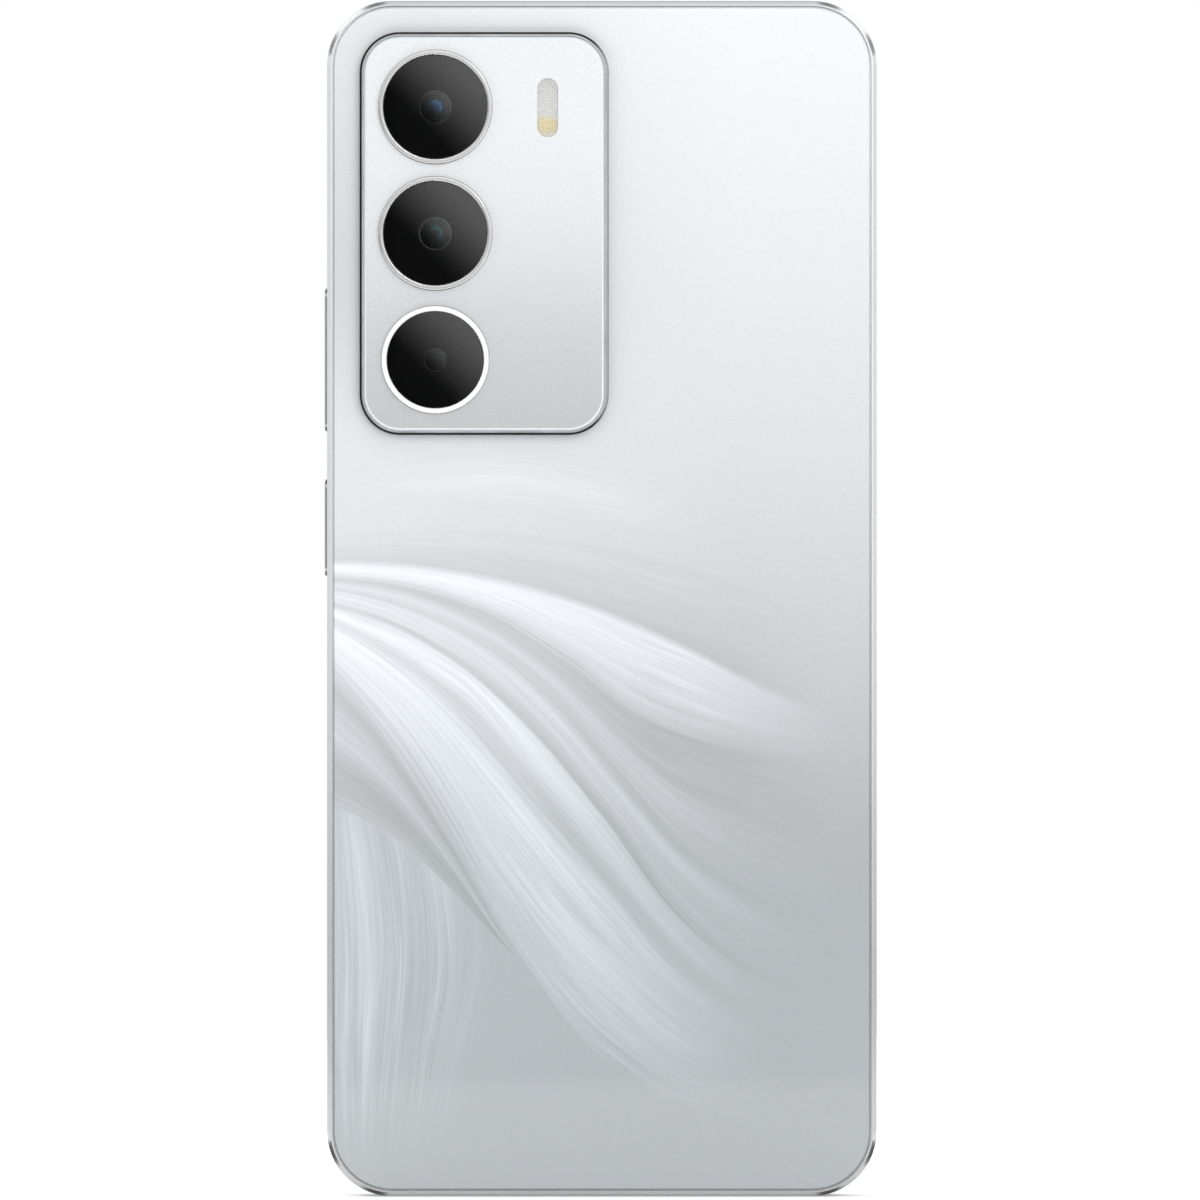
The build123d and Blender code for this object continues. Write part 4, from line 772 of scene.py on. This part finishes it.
def flex_film():
    """Amber polyimide film with copper lines inside."""
    nodes = Nodes("flex_film")
    x, _, _ = nodes.axes()
    pitch = 0.5 * MM
    line = nodes.math("SINE", nodes.math("MULTIPLY", x, 2 * math.pi / pitch))
    line = nodes.between(line, -0.2, 0.2)
    cloud = nodes.noise(400.0, 2.0)
    return nodes.finish(
        nodes.shader(
            Base_Color=nodes.blend(line, (0.10, 0.055, 0.012), (0.26, 0.13, 0.04)),
            Roughness=nodes.spread(cloud, 0.25, 0.4),
            Normal=nodes.bump(line, 0.000008),
            Coat_Weight=0.4,
            Coat_Roughness=0.15,
        )
    )


def port_tongue():
    """Black moulded tongue of the charging port with a row of gold contacts."""
    nodes = Nodes("port_tongue")
    x, _, z = nodes.axes()
    pitch = 0.5 * MM
    half_gap = 0.13 * MM
    contact_length = 3.2 * MM
    row_half = 2.9 * MM
    row = nodes.math("GREATER_THAN", nodes.math("PINGPONG", x, pitch / 2), half_gap)
    length = nodes.math("LESS_THAN", z, TONGUE_LOW.z + contact_length)
    width = nodes.math("LESS_THAN", nodes.math("ABSOLUTE", x), row_half)
    gold = nodes.math("MULTIPLY", nodes.math("MULTIPLY", row, length), width)
    grain = nodes.noise(7000.0, 2.0)
    return nodes.finish(
        nodes.shader(
            Base_Color=nodes.blend(gold, (0.012, 0.012, 0.013), (0.85, 0.62, 0.25)),
            Metallic=gold,
            Roughness=nodes.spread(grain, 0.28, 0.45),
            Normal=nodes.bump(nodes.math("ADD", gold, nodes.math("MULTIPLY", grain, 0.1)), 0.00002),
        )
    )


def slot_finishes():
    """The finish of each material slot."""
    return {
        "frame_paint": frame_paint(),
        "key_paint": key_paint(),
        "rear_cover_print": rear_cover_print(),
        "display_cover_glass": display_cover_glass(),
        "display_stack": moulded("display_stack", 0.06, rough=0.35, tint=(0.95, 1.0, 1.1)),
        "backlight_film": moulded("backlight_film", 0.93, rough=0.6),
        "island_rim": island_rim(),
        "island_plate": island_plate(),
        "silver_ring": turned_metal("silver_ring", 0.88, (MAIN_Z, WIDE_Z)),
        "white_ring": white_lacquer(),
        "lens_cover_glass": lens_cover_glass(),
        "lens_black": lens_black(),
        "flash_diffuser": flash_diffuser(),
        "flash_phosphor": flash_phosphor(),
        "die_cast": worked_metal("die_cast", 0.78, 0.45),
        "black_plastic": moulded("black_plastic", 0.18),
        "camera_body": moulded("camera_body", 0.22, rough=0.42),
        "thin_steel": worked_metal("thin_steel", 0.84, 0.28, (0.1, 1.0, 1.0)),
        "mesh_steel": woven_mesh(),
        "circuit_board": circuit_board(),
        "chip_black": moulded("chip_black", 0.2, rough=0.4),
        "flex_film": flex_film(),
        "battery_foil": worked_metal("battery_foil", 0.45, 0.4, (1.0, 1.0, 0.2)),
        "tape": moulded("tape", 0.3, rough=0.8),
        "graphite": moulded("graphite", 0.36, rough=0.5),
        "seal_rubber": moulded("seal_rubber", 0.24, rough=0.65),
    }


def own_finishes():
    """The finishes of the pieces that don't take the one of their slot."""
    black_below = (WIDE_Z + DEPTH_Z) / 2
    blue = ((0.002, 0.005, 0.008), (0.01, 0.06, 0.11), (0.004, 0.03, 0.07))
    teal = ((0.002, 0.006, 0.006), (0.01, 0.05, 0.05), (0.002, 0.01, 0.015))
    return {
        "main_camera_lens": coated_lens("blue_coating", *blue),
        "fixed_camera_lenses": coated_lens("teal_coating", *teal, coated_above=black_below),
        "usb_c_tongue": port_tongue(),
    }


def paint_cad_pieces():
    """Gives every CAD piece the finish of its material slot, or its own."""
    finishes = slot_finishes()
    own = own_finishes()
    for name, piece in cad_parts.items():
        for place in piece.material_slots:
            slot_name = place.material.name.split(".")[0]
            place.material = own.get(name) or finishes[slot_name]


# Studio


def make_floor():
    """A round pale floor under the phone, which reaches further in front of the display than behind."""
    radius = 0.45
    forward = 0.09
    drop = 0.05 * MM
    count = 64
    mesh = bpy.data.meshes.new("studio_floor")
    corners = []
    for index in range(count):
        angle = 2 * math.pi * index / count
        corners.append((radius * math.cos(angle), radius * math.sin(angle) - forward, -drop))
    mesh.from_pydata(corners, [], [range(count)])
    floor = bpy.data.objects.new("studio_floor", mesh)
    bpy.context.scene.collection.objects.link(floor)
    nodes = Nodes("studio_floor")
    grain = nodes.noise(20.0, 2.0)
    tone = nodes.spread(grain, 0.985, 0.995)
    mesh.materials.append(
        nodes.finish(
            nodes.shader(
                Base_Color=nodes.grey(tone),
                Roughness=0.8,
                Emission_Color=(1.0, 1.0, 1.0),
                Emission_Strength=0.25,
            )
        )
    )


def towards(sky, target):
    """How squarely a direction points to a target, from -1 to 1."""
    node = sky.add("ShaderNodeVectorMath", operation="DOT_PRODUCT")
    sky.plug(sky.add("ShaderNodeTexCoord").outputs["Generated"], node.inputs[0])
    node.inputs[1].default_value = Vector(target).normalized()
    return node.outputs["Value"]


def backdrop(sky, strength):
    """A white background of some strength."""
    node = sky.add("ShaderNodeBackground")
    node.inputs["Color"].default_value = (1.0, 1.0, 1.0, 1.0)
    sky.plug(strength, node.inputs["Strength"])
    return node.outputs[0]


def make_world():
    """White for the camera, and a soft studio for light and reflections.

    The studio is brighter overhead. The wall that the rear cover faces is dim and brightens towards
    its upper far side.
    """
    world = bpy.data.worlds.new("studio")
    bpy.context.scene.world = world
    sky = Tree(world, "ShaderNodeOutputWorld")
    room = sky.between(towards(sky, (0, 0, 1)), -0.5, 0.7, 0.35, 0.95, smooth=True)
    wall = sky.between(towards(sky, (-1, 0, 1)), -0.16, 0.26, 0.01, 1.9, smooth=True)
    behind = sky.between(towards(sky, (0, 1, 0)), 0.72, 0.92, smooth=True)
    studio = backdrop(sky, sky.blend(behind, room, wall))
    seen = sky.add("ShaderNodeLightPath").outputs["Is Camera Ray"]
    sky.finish(sky.mix_shaders(seen, studio, backdrop(sky, 1.0)))


def softbox(name, place, size, radiance):
    """A square soft light that faces the middle of the phone."""
    light = bpy.data.lights.new(name, "AREA")
    light.shape = "SQUARE"
    light.size = size
    light.energy = radiance * math.pi * size**2
    lamp = bpy.data.objects.new(name, light)
    bpy.context.scene.collection.objects.link(lamp)
    lamp.location = place
    target = Vector((0.0, 0.0, MIDDLE_Z))
    lamp.rotation_euler = (target - Vector(place)).to_track_quat("-Z", "Y").to_euler()
    lamp.visible_camera = False


def make_lights():
    """A main light on the rear cover, a weak one on the keys' side and one on the display."""
    softbox("key_softbox", place=(-0.75, 1.0, 0.85), size=0.5, radiance=2.4)
    softbox("side_softbox", place=(1.2, 0.6, 0.5), size=0.6, radiance=0.5)
    softbox("front_softbox", place=(0.7, -1.1, 0.9), size=0.7, radiance=4.0)


def make_camera():
    """A level camera square to the rear cover, framed just over the phone's length."""
    distance = 1.5
    margin = 0.61 * MM
    sideways = 0.26 * MM
    downwards = 0.21 * MM
    data = bpy.data.cameras.new("camera")
    data.sensor_width = 36.0
    data.lens = data.sensor_width * distance / (LENGTH + margin)
    camera = bpy.data.objects.new("camera", data)
    camera.location = (sideways, REAR + distance, MIDDLE_Z - downwards)
    camera.rotation_euler = (math.pi / 2, 0.0, math.pi)
    bpy.context.scene.collection.objects.link(camera)
    bpy.context.scene.camera = camera


paint_cad_pieces()
make_floor()
make_world()
make_lights()
make_camera()
bpy.context.scene.view_settings.view_transform = "Standard"
